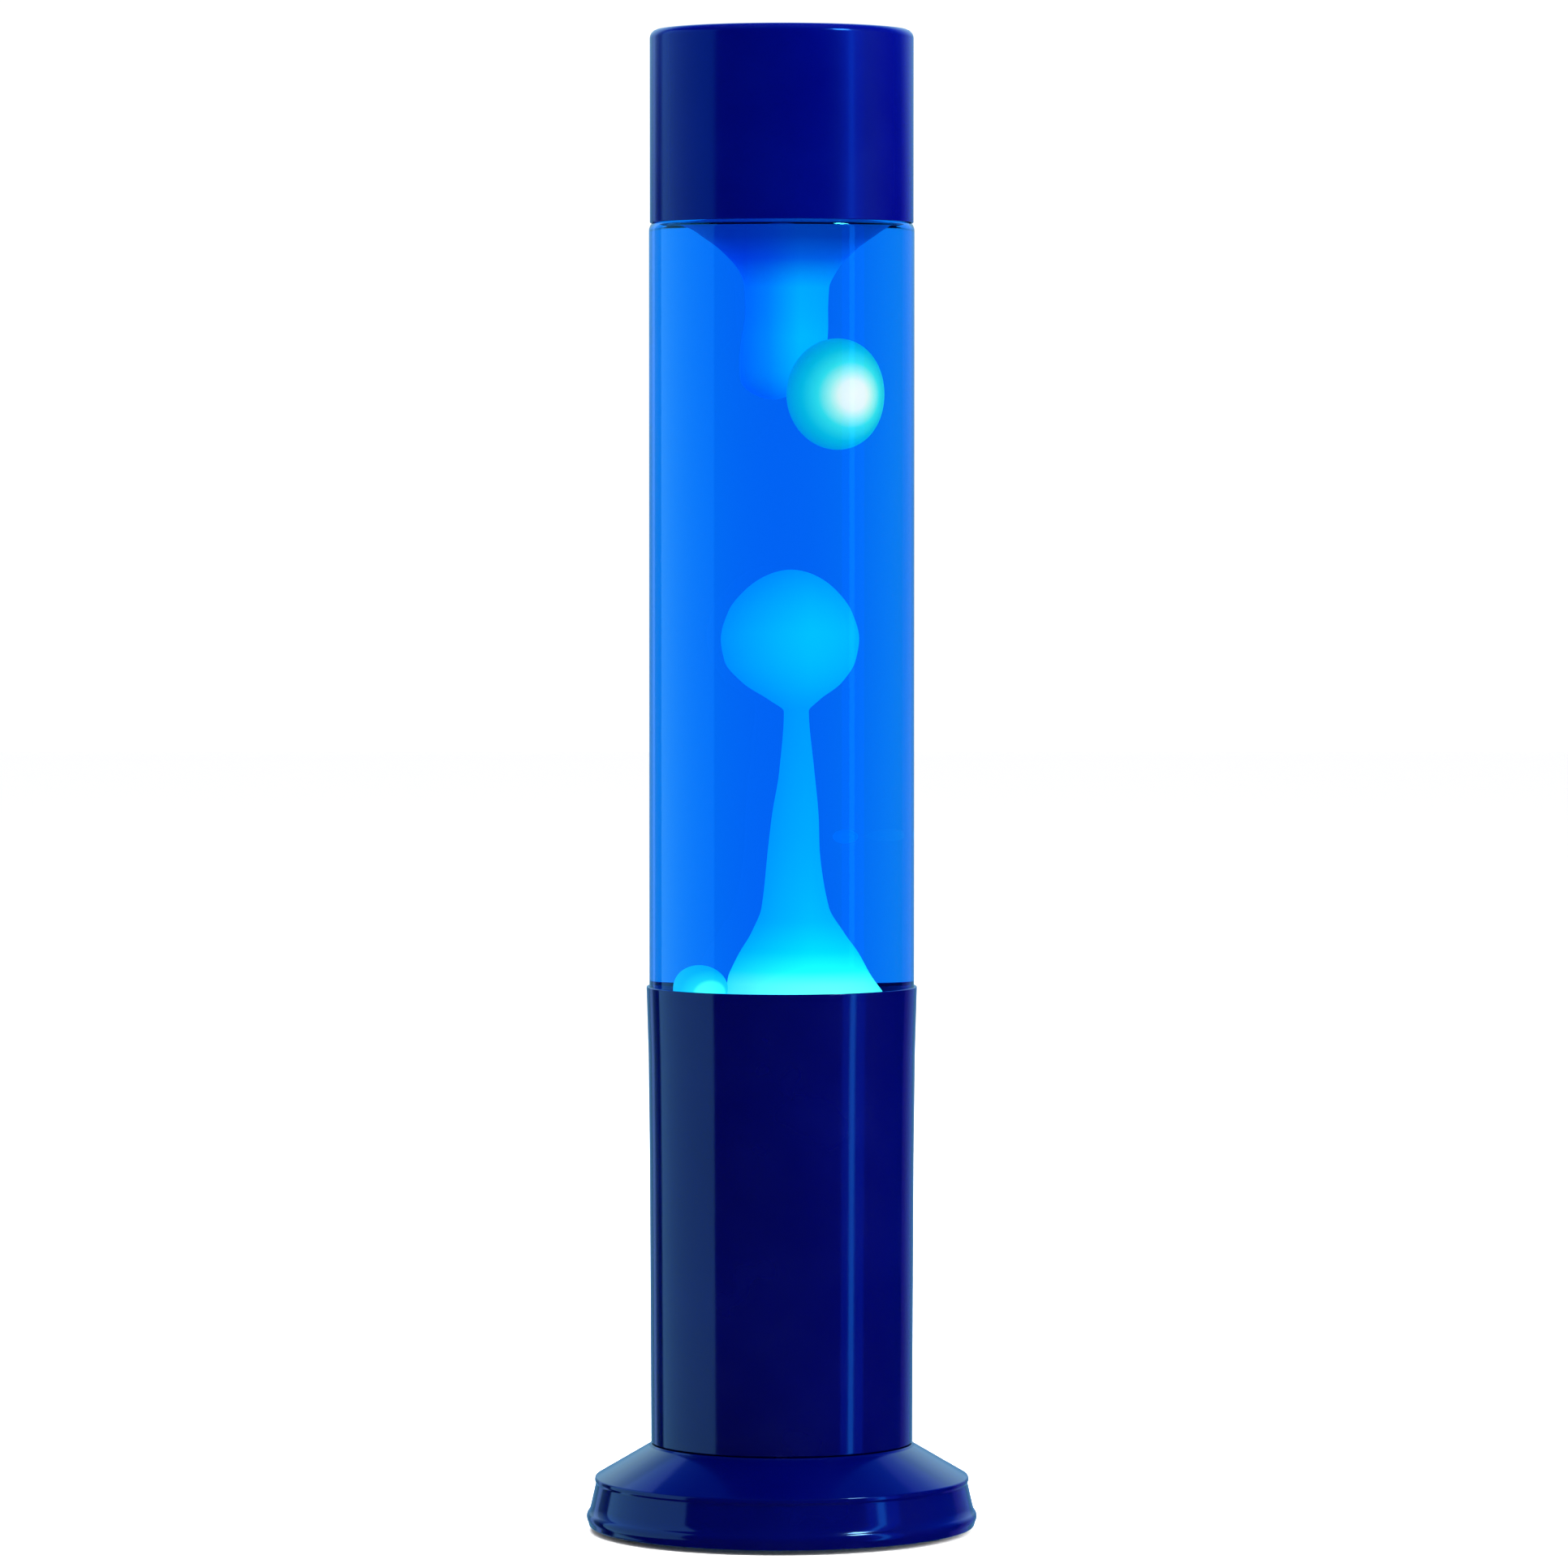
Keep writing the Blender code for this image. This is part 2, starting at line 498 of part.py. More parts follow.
def make_holder(group):
    """Two-part holder on its nipple, with the screw shell and contacts on a steatite block."""
    base = [(NIPPLE_HOLE, HOLDER_BOTTOM), (10.6, HOLDER_BOTTOM), (12.4, 28.0), (HOLDER_RADIUS, 36.0)]
    base += [(HOLDER_RADIUS, HOLDER_SPLIT - GAP), (11.3, HOLDER_SPLIT - GAP), (11.3, 36.0), (10.0, 29.2)]
    turned("holder_base", base + [(NIPPLE_HOLE, 29.2)], "holder_plastic", group, MEDIUM_STEPS)
    body = [(11.3, HOLDER_SPLIT), (HOLDER_RADIUS, HOLDER_SPLIT), (HOLDER_RADIUS, 50.0), (12.6, 53.0)]
    body += [(12.2, HOLDER_TOP), (9.7, HOLDER_TOP), (9.7, 50.7), (11.3, 50.7)]
    turned("holder_body", body, "holder_plastic", group, MEDIUM_STEPS)
    block = turned("contact_block", [(0, 46.6), (11.0, 46.6), (11.0, 50.2), (0, 50.2)], "steatite", group,
                   MEDIUM_STEPS)
    terminals = [(-6.5, 0), (6.5, 0)]
    drill(block, terminals, 1.7, 46.0, 51.0)
    shell_wall = 0.5
    shell = [(5.0, 50.5), (SCREW_SHELL_BORE + shell_wall, 50.5), (SCREW_SHELL_BORE + shell_wall, 68.5)]
    shell += [(SCREW_SHELL_BORE, 68.5), (SCREW_SHELL_BORE, 51.0), (5.0, 51.0)]
    turned("screw_shell", shell, "brass", group, MEDIUM_STEPS)
    make_centre_contact(group)
    screw = [(0, 43.8), (2.2, 43.8), (2.2, 46.3), (1.3, 46.3), (1.3, 49.8), (0, 49.8)]
    for number, (x, y) in enumerate(terminals, 1):
        turned(f"terminal_screw_{number}", screw, "brass", group, SMALL_STEPS, (x, y, 0))


def make_centre_contact(group):
    """Springy strip with a raised tongue under the bulb's tip."""
    half_width = 1.6
    side = [(-4.0, 50.5), (3.5, 50.5), (3.5, 51.0), (2.0, 51.0), (1.2, 51.7), (-1.6, 51.7), (-3.0, 51.0), (-4.0, 51.0)]
    contact = extruded("centre_contact", side, -half_width, half_width, "brass", group)
    # The outline is drawn in X and height, so the strip is stood up about X.
    contact.rotation_euler = (math.pi / 2, 0, 0)


def make_bracket(group):
    """Three arms from a hub, clamped by the tie screws, that carry the holder on its nipple."""
    half_width, hub = 5.0, 10.0
    outline = []
    for angle in TIE_ANGLES:
        side = math.asin(half_width / hub)
        outline.append((hub * math.cos(angle - side), hub * math.sin(angle - side)))
        for turn in (-1, -0.5, 0.5, 1):
            spread = turn * math.asin(half_width / BRACKET_REACH)
            reach = BRACKET_REACH - 1.5 * (abs(turn) == 1)
            outline.append((reach * math.cos(angle + spread), reach * math.sin(angle + spread)))
        outline.append((hub * math.cos(angle + side), hub * math.sin(angle + side)))
    top = BRACKET_BOTTOM + BRACKET_SHEET
    bracket = extruded("holder_bracket", outline, BRACKET_BOTTOM, top, "steel", group)
    drill(bracket, [(0, 0)], NIPPLE_HOLE, BRACKET_BOTTOM - 1, top + 1, MEDIUM_STEPS)
    drill(bracket, around(TIE_ANGLES, TIE_CIRCLE), TIE_HOLE, BRACKET_BOTTOM - 1, top + 1)


# ---------------------------------------------------------------- fixings and foot

def make_nut(name, across_flats, hole, low, high, group, place=(0, 0, 0), steps=SMALL_STEPS):
    nut = extruded(name, hexagon(across_flats), low, high, "steel", group, place)
    drill(nut, [place[:2]], hole, low - 1, high + 1, steps)


def make_fixings(group):
    """Nipple with its nut, and the screws and nuts that tie bracket, tube and foot together."""
    bore, low, high = 3.6, 18.5, 33.5
    nipple = [(bore, low), (NIPPLE_RADIUS, low), (NIPPLE_RADIUS, high), (bore, high)]
    turned("threaded_nipple", nipple, "brass", group, MEDIUM_STEPS)
    make_nut("nipple_nut", 14.0, NIPPLE_HOLE, 21.0, 24.0, group, steps=MEDIUM_STEPS)
    head = BRACKET_BOTTOM + BRACKET_SHEET + GAP
    screw = [(0, 18.6), (1.5, 18.6), (1.5, head), (2.8, head), (2.8, head + 1.2), (1.6, head + 2.0), (0, head + 2.0)]
    nut_top = FOOT_TOP - SHEET - GAP
    for number, (x, y) in enumerate(around(TIE_ANGLES, TIE_CIRCLE), 1):
        turned(f"tie_screw_{number}", screw, "steel", group, SMALL_STEPS, (x, y, 0))
        make_nut(f"tie_nut_{number}", 5.5, TIE_HOLE, nut_top - 2.4, nut_top, group, (x, y, 0))


def make_base_plate(group):
    """Vented cover plate inside the foot, with holes for its screws and for the rubber feet."""
    outline = [(0, PLATE_BOTTOM), (PLATE_RADIUS, PLATE_BOTTOM), (PLATE_RADIUS, PLATE_TOP), (0, PLATE_TOP)]
    plate = turned("base_plate", outline, "steel", group)
    drill(plate, around(PLATE_SCREW_ANGLES, PLATE_CIRCLE), 1.5, 2, 6)
    drill(plate, around(RUBBER_FOOT_ANGLES, PLATE_CIRCLE), 2.4, 2, 6)
    vents = [math.tau * (vent + 0.5) / VENTS for vent in range(VENTS)]
    drill(plate, around(vents, VENT_CIRCLE), VENT_RADIUS, 2, 6)


def make_base_fixings(group):
    """Pillars that stand under the cone, the plate's screws, and the rubber feet with their barbed stems."""
    pillar = [(1.4, PLATE_TOP + GAP), (4.0, PLATE_TOP + GAP), (4.0, PILLAR_TOP), (1.4, PILLAR_TOP)]
    screw = [(0, 1.4), (2.0, 1.4), (3.0, 2.0), (3.0, 2.7), (1.1, 2.7), (1.1, 11.0), (0, 12.0)]
    for number, (x, y) in enumerate(around(PLATE_SCREW_ANGLES, PLATE_CIRCLE), 1):
        turned(f"base_pillar_{number}", pillar, "steel", group, SMALL_STEPS, (x, y, 0))
        turned(f"base_screw_{number}", screw, "steel", group, SMALL_STEPS, (x, y, 0))
    rubber = [(0, 0), (5.3, 0), (6.0, 0.7), (5.6, PLATE_BOTTOM - GAP), (2.1, PLATE_BOTTOM - GAP)]
    rubber += [(2.1, PLATE_TOP + GAP), (3.0, PLATE_TOP + GAP), (1.8, PLATE_TOP + 1.9), (0, PLATE_TOP + 1.9)]
    for number, (x, y) in enumerate(around(RUBBER_FOOT_ANGLES, PLATE_CIRCLE), 1):
        turned(f"rubber_foot_{number}", rubber, "rubber", group, SMALL_STEPS, (x, y, 0))


def make_cable_grommet(group):
    """Rubber ring in the inlet, turned about the hole's axis, with a collar on each side of the wall."""
    bore, waist = 3.05, INLET_RADIUS - GAP
    outside, inside = SKIRT_RADIUS + GAP, SKIRT_RADIUS - 2.7
    outline = [(bore, outside + 0.7), (bore, inside - 0.8), (4.3, inside - 0.8), (4.3, inside)]
    outline += [(waist, inside), (waist, outside), (4.6, outside), (4.4, outside + 0.7)]
    reversed_outline = [(radius, -distance) for radius, distance in outline]
    grommet = turned("cable_grommet", reversed_outline, "rubber", group, MEDIUM_STEPS, (0, 0, INLET_HEIGHT))
    grommet.rotation_euler = (math.pi / 2, 0, 0)


def main():
    clear_scene()
    add_materials()
    base = add_group("base_group", 0.0)
    bottle = add_group("bottle_group", GLASS_BOTTOM)
    bubble = add_group("bubble_group", BUBBLE_CENTRE[2])
    cap = add_group("cap_group", CAP_BOTTOM)
    bulb = add_group("bulb_group", BULB_TIP)
    bulb_end = add_group("bulb_end_group", BULB_TIP)
    make_foot_shell(base)
    make_base_tube(base)
    make_top_cap(cap)
    make_glass_bottle(bottle)
    make_liquid(bottle)
    make_wax(bottle, bubble)
    make_heat_coil(bottle)
    make_crown_closure(bottle)
    make_bottle_seat(base)
    make_bulb(bulb, bulb_end)
    make_holder(base)
    make_bracket(base)
    make_fixings(base)
    make_base_plate(base)
    make_base_fixings(base)
    make_cable_grommet(base)


main()
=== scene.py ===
"""Lava lamp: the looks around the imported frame.

An outline is (radius, height) or (radius, height, fillet) rows in millimetres.
Its heights and radii follow the frame's own boxes."""
from math import cos, hypot, pi, radians, sin, sqrt, tan, tau

import bmesh
import bpy
from mathutils import Matrix, Vector


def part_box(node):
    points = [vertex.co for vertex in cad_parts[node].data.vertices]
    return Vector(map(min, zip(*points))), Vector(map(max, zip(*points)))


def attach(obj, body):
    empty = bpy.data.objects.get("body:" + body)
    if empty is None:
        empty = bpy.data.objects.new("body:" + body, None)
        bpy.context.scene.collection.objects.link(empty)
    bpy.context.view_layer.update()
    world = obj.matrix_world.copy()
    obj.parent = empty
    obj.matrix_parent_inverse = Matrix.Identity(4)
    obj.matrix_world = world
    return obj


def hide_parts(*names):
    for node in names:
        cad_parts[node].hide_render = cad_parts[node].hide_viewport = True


MM = 0.001
ROUND_STEPS = 144
SMALL_STEPS = 48
FILLET_STEPS = 5
MOST_OF_EDGE = 0.49
SHARP_ANGLE = radians(40)

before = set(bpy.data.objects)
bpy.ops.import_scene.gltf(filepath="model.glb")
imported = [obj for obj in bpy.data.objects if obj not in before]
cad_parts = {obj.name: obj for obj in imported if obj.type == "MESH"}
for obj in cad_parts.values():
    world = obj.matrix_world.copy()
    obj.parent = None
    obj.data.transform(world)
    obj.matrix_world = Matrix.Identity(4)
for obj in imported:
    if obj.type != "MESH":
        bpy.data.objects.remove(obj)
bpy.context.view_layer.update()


# ---- shapes

def extent(node):
    """A CAD node's largest radius about Z, and its lowest and highest height, in millimetres."""
    low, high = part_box(node)
    return max(abs(low.x), high.x, high.y) / MM, low.z / MM, high.z / MM


def up(base, *rows):
    """Outline rows measured up from a base height. A negative height lies below it."""
    return [(row[0], base + row[1], *row[2:]) for row in rows]


def rounded(points):
    """The outline with a round corner at each point that has a fillet. The other points stay sharp."""
    made = []
    for place, point in enumerate(points):
        if len(point) == 2 or point[2] == 0:
            made.append(tuple(point[:2]))
            continue
        here = Vector(point[:2])
        before = Vector(points[place - 1][:2]) - here
        after = Vector(points[(place + 1) % len(points)][:2]) - here
        half_turn = before.angle(after) / 2
        back = min(point[2] / tan(half_turn), before.length * MOST_OF_EDGE, after.length * MOST_OF_EDGE)
        start, end = here + before.normalized() * back, here + after.normalized() * back
        centre = here + (before.normalized() + after.normalized()).normalized() * (back / cos(half_turn))
        for step in range(FILLET_STEPS + 1):
            spoke = (start - centre).lerp(end - centre, step / FILLET_STEPS)
            spoke = spoke.normalized() * (start - centre).length
            made.append(tuple(centre + spoke))
    return made


def arc(centre, radius, start, end, steps=12):
    """Outline points on a circle, from the start to the end in degrees."""
    turns = [radians(start + (end - start) * step / steps) for step in range(steps + 1)]
    return [(centre[0] + radius * cos(turn), centre[1] + radius * sin(turn)) for turn in turns]


def mesh_piece(name, vertices, faces, look, body, node=None, place=(0, 0, 0)):
    """A smooth mesh from points in millimetres, riding on a body and standing for a CAD node."""
    mesh = bpy.data.meshes.new(name)
    mesh.from_pydata([(Vector(v) + Vector(place)) * MM for v in vertices], [], faces)
    shape = bmesh.new()
    shape.from_mesh(mesh)
    bmesh.ops.recalc_face_normals(shape, faces=shape.faces)
    shape.to_mesh(mesh)
    shape.free()
    mesh.shade_smooth()
    mesh.set_sharp_from_angle(angle=SHARP_ANGLE)
    return dress(name, mesh, look, body, node)


def add_object(name, data):
    made = bpy.data.objects.new(name, data)
    bpy.context.scene.collection.objects.link(made)
    return made


def dress(name, data, look, body, node):
    """A piece of this look, on its body."""
    data.materials.append(LOOKS[look])
    piece = add_object(name, data)
    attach(piece, body)
    if node:
        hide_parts(node)
    return piece


def spin(outline, steps, radius_of=None):
    """Vertices and faces of a turned outline, closed through the axis or round a hole.

    radius_of(radius, height, turn) may bend the outline's radius on its way round."""
    on_axis = outline[0][0] == 0
    vertices, rings = [], []
    for radius, height in outline:
        if radius == 0:
            rings.append([len(vertices)])
            vertices.append((0, 0, height))
            continue
        ring = []
        for step in range(steps):
            turn = tau * step / steps
            reach = radius_of(radius, height, turn) if radius_of else radius
            ring.append(len(vertices))
            vertices.append((reach * cos(turn), reach * sin(turn), height))
        rings.append(ring)
    ends = rings[1:] if on_axis else rings[1:] + rings[:1]
    faces = []
    for low, high in zip(rings, ends):
        faces += band(low, high, steps)
    return vertices, faces


def band(low, high, steps):
    """The faces between two rings of vertices, either of which may be one point."""
    if len(low) == 1 and len(high) == 1:
        return []
    made = []
    for step in range(steps):
        after = (step + 1) % steps
        if len(low) == 1:
            made.append((low[0], high[after], high[step]))
        elif len(high) == 1:
            made.append((low[step], low[after], high[0]))
        else:
            made.append((low[step], low[after], high[after], high[step]))
    return made


def turned(name, outline, look, body, node=None, steps=ROUND_STEPS, place=(0, 0, 0), radius_of=None):
    vertices, faces = spin(rounded(outline), steps, radius_of)
    return mesh_piece(name, vertices, faces, look, body, node, place)


# ---- materials

WAX_COLOUR = (0.03, 0.16, 0.24)
WAX_ROUGHNESS = 0.45
# Strength of the wax's painted glow, which stands in for the bulb's light through the wax.
WAX_GLOW = 2.5
GLASS_IOR = 1.5
LIQUID_IOR = 1.37
LOOKS = {}


def principled(name, colour, roughness, **sockets):
    """A new material, its node tree and its shader."""
    material = bpy.data.materials.new(name)
    material.use_nodes = True
    tree = material.node_tree
    shader = tree.nodes["Principled BSDF"]
    feed(tree, shader, Base_Color=(*colour, 1), Roughness=roughness, **sockets)
    return material, tree, shader


def connect(tree, socket, value):
    """Gives an input a fixed value or another node's output."""
    if isinstance(value, bpy.types.NodeSocket):
        tree.links.new(value, socket)
    else:
        socket.default_value = value


def feed(tree, node, **inputs):
    """Connects a node's inputs by name, with _ for a space."""
    for name, value in inputs.items():
        connect(tree, node.inputs[name.replace("_", " ")], value)


def add_node(tree, kind, **inputs):
    """A new node's outputs."""
    node = tree.nodes.new("ShaderNode" + kind)
    feed(tree, node, **inputs)
    return node.outputs


def add_math(tree, kind, operation, *values):
    """The outputs of a Math or VectorMath node."""
    node = tree.nodes.new("ShaderNode" + kind)
    node.operation = operation
    for socket, value in zip(node.inputs, values):
        connect(tree, socket, value)
    return node.outputs


def add_noise(tree, scale, detail=2.0, stretch=(1, 1, 1)):
    """Noise in the piece's own space, in features per metre."""
    place = add_node(tree, "TexCoord")["Object"]
    mapped = add_node(tree, "Mapping", Vector=place, Scale=stretch)["Vector"]
    return add_node(tree, "TexNoise", Vector=mapped, Scale=scale, Detail=detail)["Fac"]


def add_range(tree, value, low, high, from_low=0.3, from_high=0.7):
    """The value stretched from one range to another. Noise mostly lies between 0.3 and 0.7."""
    return add_node(tree, "MapRange", Value=value, From_Min=from_low, From_Max=from_high, To_Min=low,
                    To_Max=high)["Result"]


def add_ramp(tree, value, stops):
    """A colour ramp from (position, colour) stops."""
    ramp = tree.nodes.new("ShaderNodeValToRGB")
    elements = ramp.color_ramp.elements
    while len(elements) < len(stops):
        elements.new(0.5)
    for element, (position, colour) in zip(elements, stops):
        element.position = position
        element.color = (*colour, 1)
    tree.links.new(value, ramp.inputs["Fac"])
    return ramp.outputs["Color"]


def mix_colours(tree, first, second, how):
    mix = tree.nodes.new("ShaderNodeMix")
    mix.data_type = "RGBA"
    mix.blend_type = how
    mix.inputs["Factor"].default_value = 1.0
    tree.links.new(first, mix.inputs[6])
    tree.links.new(second, mix.inputs[7])
    return mix.outputs[2]


def add_bump(tree, shader, height, strength, distance):
    """Raises the surface by the height, with the distance in metres."""
    bump = add_node(tree, "Bump", Strength=strength, Distance=distance, Height=height)
    feed(tree, shader, Normal=bump["Normal"])


def make_paint(name, deep, light, rough_low, rough_high, tint):
    """Glossy blue enamel: faint orange peel, slightly uneven gloss and depth of colour."""
    material, tree, shader = principled(name, deep, rough_low, Specular_Tint=(*tint, 1))
    feed(tree, shader, Base_Color=add_ramp(tree, add_noise(tree, 30, 3), [(0.3, deep), (0.7, light)]))
    feed(tree, shader, Roughness=add_range(tree, add_noise(tree, 60, 4), rough_low, rough_high))
    add_bump(tree, shader, add_noise(tree, 700), 0.03, 0.0002)
    return material


def make_glass(name, ior, tint):
    """Clear glass. A black tint takes away the mirror gloss of a wall that liquid wets."""
    material, tree, shader = principled(name, (1, 1, 1), 0, IOR=ior, Transmission_Weight=1,
                                        Specular_Tint=(*tint, 1))
    add_bump(tree, shader, add_noise(tree, 40, 1, (1, 1, 0.3)), 0.02, 0.0005)
    return material


def make_liquid_material():
    """Blue dye that lets blue through, part of the green and no red. The wetted wall bends the light."""
    material, tree, _ = principled("blue_liquid_dye", (1, 1, 1), 0, IOR=1, Transmission_Weight=1,
                                   Specular_Tint=(0, 0, 0, 1))
    dye = add_node(tree, "VolumeAbsorption", Color=(0, 0.735, 0.984, 1), Density=120.0)
    feed(tree, tree.nodes["Material Output"], Volume=dye["Volume"])
    return material


def add_span(tree, value, start, end):
    """0 at the start and 1 at the end, both in millimetres of the piece's own space."""
    return add_range(tree, value, 0, 1, start * MM, end * MM)


def make_wax_column(name, bottom, top, glow_by_height, left, right, across):
    """Wax with painted light from below: emission that changes with height, and painted shade that makes it
    weaker on the left side.
    """
    material, tree, shader = principled(name, WAX_COLOUR, WAX_ROUGHNESS)
    place = add_node(tree, "SeparateXYZ", Vector=add_node(tree, "TexCoord")["Object"])
    # Painted light and shade: the glow changes with height.
    height = add_ramp(tree, add_span(tree, place["Z"], bottom, top), glow_by_height)
    # Painted shade: the left side glows less than the right.
    side = add_ramp(tree, add_span(tree, place["X"], left, right), across)
    mix_glow(tree, shader, height, side)
    return material


def make_wax_blob(name, centre, hot_spot, reach, stops):
    """Faintly cloudy wax with a painted glow, brightest round a painted hot spot in front of its centre and
    round one behind it.
    """
    material, tree, shader = principled(name, WAX_COLOUR, WAX_ROUGHNESS)
    place = add_node(tree, "TexCoord")["Object"]
    away = add_math(tree, "VectorMath", "SUBTRACT", place, Vector(centre) * MM)["Vector"]
    split = add_node(tree, "SeparateXYZ", Vector=away)
    depth = add_math(tree, "Math", "ABSOLUTE", split["Y"])["Value"]
    folded = add_node(tree, "CombineXYZ", X=split["X"], Y=depth, Z=split["Z"])["Vector"]
    # Painted highlight: the glow fades with distance from the hot spot.
    measure = add_math(tree, "VectorMath", "DISTANCE", folded, Vector(hot_spot) * MM)["Value"]
    glow = add_ramp(tree, add_span(tree, measure, 0, reach), stops)
    cloud = add_ramp(tree, add_noise(tree, 90), [(0.3, (0.94, 0.97, 0.98)), (0.7, (1, 1, 1))])
    mix_glow(tree, shader, glow, cloud)
    return material


def mix_glow(tree, shader, first, second):
    """The product of two colours as the shader's emission: painted light on wax, which is no lamp."""
    product = mix_colours(tree, first, second, "MULTIPLY")
    feed(tree, shader, Emission_Color=product, Emission_Strength=WAX_GLOW)


def add_stain(tree, shader, scale, colour, shade):
    """Colour that drifts between the full one and a darker shade of it."""
    dark = tuple(channel * shade for channel in colour)
    feed(tree, shader, Base_Color=add_ramp(tree, add_noise(tree, scale, 4), [(0.3, dark), (0.7, colour)]))


def make_metal(name, colour, roughness):
    """Bare metal with a fine grain in its gloss and a little staining."""
    material, tree, shader = principled(name, colour, roughness, Metallic=1.0)
    add_stain(tree, shader, 90, colour, 0.8)
    grain = add_noise(tree, 400, 5)
    feed(tree, shader, Roughness=add_range(tree, grain, roughness, roughness + 0.12))
    add_bump(tree, shader, grain, 0.08, 0.0001)
    return material


def make_moulded(name, colour, roughness):
    """Moulded plastic, rubber or ceramic with a fine surface grain."""
    material, tree, shader = principled(name, colour, roughness)
    add_stain(tree, shader, 120, colour, 0.86)
    feed(tree, shader, Roughness=add_range(tree, add_noise(tree, 250, 3), roughness - 0.06, roughness + 0.08))
    add_bump(tree, shader, add_noise(tree, 900, 3), 0.15, 0.0001)
    return material


# ---- painted shells

CAP_SHEET = 0.6
SHEET = 0.8
TUBE_TAPER = 1.1
FLANGE_BORE = 26.5
TIE_HOLE = 1.95
TIE_TURNS = (30, 150, 270)
TIE_CIRCLE = 30.0


def make_top_cap():
    radius, low, high = extent("top_cap")
    bore, ceiling = radius - CAP_SHEET, high - CAP_SHEET
    outline = [(0, ceiling), (bore, ceiling, 1.6), (bore, low, 0.25), (radius, low, 0.25)]
    turned("cap_shell", outline + [(radius, high, 2.2), (0, high)], "blue_paint cap", "cap", "top_cap")


def make_base_tube():
    """The tube: slightly wider at its rolled rim, with a flange at its foot."""
    rim, low, high = extent("base_tube")
    foot = rim - TUBE_TAPER
    outer = [(foot, low, 0.3), (foot + 0.3, low + 75), (rim - 0.5, high - 18), (rim - 0.1, high - 4, 8)]
    lip = [(rim, high - 0.5, 0.3), (rim, high, 0.35), (rim - SHEET, high, 0.35)]
    inner = [(radius - SHEET, height) for radius, height, *_ in reversed(outer[1:])]
    bottom = [(foot - SHEET, low + SHEET, 0.5), (FLANGE_BORE, low + SHEET, 0.2), (FLANGE_BORE, low, 0.2)]
    tube = turned("tube_shell", outer + lip + inner + bottom, "blue_paint", "base", "base_tube")
    cut(tube, around(TIE_TURNS, TIE_CIRCLE), TIE_HOLE, low - 2, low + 3)


def make_foot_shell():
    """The foot: a rounded bead at the floor, a short skirt, a ledge, and a cone up to the tube."""
    radius, low, high = extent("foot_shell")
    tube = extent("base_tube")[0] - TUBE_TAPER
    skirt, ledge = radius - 1.15, radius - 2.15
    outer = [(radius - 2.2, low, 0.3), (radius - 0.7, low, 0.6)]
    outer += arc((radius - 2.3, low + 2.5), 2.3, -32, 48, 8) + [(skirt, low + 5.6, 0.5)]
    outer += up(low, (ledge - 0.3, 11.4, 0.5), (ledge, 12.1, 0.3), (ledge - 0.1, 13, 0.6))
    outer += [(tube + 0.5, high - 0.5, 0.8), (tube + 0.1, high, 0.2)]
    inner = [(FLANGE_BORE, high, 0.2), (FLANGE_BORE, high - SHEET, 0.2), (tube, high - SHEET, 0.4)]
    inner += up(low, (ledge - 1.2, 12.2, 0.6), (ledge - 1.1, 11.2), (radius - 2.2, 5, 0.5))
    foot = turned("foot_shell_spun", outer + inner, "blue_paint", "base", "foot_shell")
    cut(foot, around(TIE_TURNS, TIE_CIRCLE), TIE_HOLE, high - 3, high + 3)
    cut_inlet(foot)


# ---- bottle and filling

GLASS_WALL = 2.4
HEEL = 12.0
CORNER = 3.0
SHOULDER_START = 342.4
NECK_BORE = 9.6
POOL_HEIGHT = 139.5
FILL_HEIGHT = 362.0
LIQUID_CONTACT = 0.12
DOME_PLACE = (-16, 0, 0)
DOME_FOOT = 143.5
DOME_RADIUS = 5.6
DOME_HEIGHT = 6.3
BUBBLE_RISE = 0.8


def bottle_side(radius, low, inset):
    """The bottle's heel, straight side and shoulder, moved in by the inset."""
    heel = arc((radius - HEEL, low + HEEL), HEEL - inset, -90, 0, 20)
    return heel + arc((radius - CORNER, SHOULDER_START), CORNER - inset, 0, 75, 12)


def make_glass_bottle():
    """The bottle. The faces inside that the liquid wets get a look of their own."""
    radius, low, high = extent("glass_bottle")
    neck, lip = 12.4, 13.3
    outside = up(low, (0, 1.2), (8, 1, 12), (16, 0.1, 6)) + bottle_side(radius, low, 0)
    outside += [(16.5, 350.4, 3), (13, 353, 4), (neck, 358, 4), (neck, high - 7.3, 0.8)]
    outside += [(lip, high - 6.2, 0.8), (lip, high, 1.2)]
    inside = [(0, low + GLASS_WALL + 1.2), (8, low + GLASS_WALL + 1, 12)]
    inside += bottle_side(radius, low, GLASS_WALL)
    inside += [(15.2, 348.1, 3), (10.6, 351.2, 4), (NECK_BORE, 356.5, 4), (NECK_BORE, high, 0.8)]
    bottle = turned("bottle_glass", outside + inside[::-1], "glass", "bottle", "glass_bottle")
    bottle.data.materials.append(LOOKS["glass wetted"])
    for face in bottle.data.polygons:
        centre = face.center / MM
        reach = hypot(centre.x, centre.y)
        inwards = Vector((centre.x, centre.y, 0)).dot(face.normal) < 0
        face.material_index = int(centre.z < FILL_HEIGHT and inwards and reach < radius - GLASS_WALL / 2)


def make_liquid():
    """The liquid from the wax pool up to its level in the neck. It reaches a little into the glass."""
    radius, low, _ = extent("glass_bottle")
    bore = NECK_BORE + LIQUID_CONTACT
    side = bottle_side(radius, low, GLASS_WALL - LIQUID_CONTACT)
    side = [point for point in side if point[1] > POOL_HEIGHT - 1.5]
    outline = [(0, side[0][1])] + side + [(15.3, 348.1, 3), (10.8, 351.2, 4), (bore, 356.5, 4)]
    outline += [(bore, FILL_HEIGHT), (0, FILL_HEIGHT)]
    turned("bottle_liquid", outline, "blue_liquid", "bottle", "liquid")


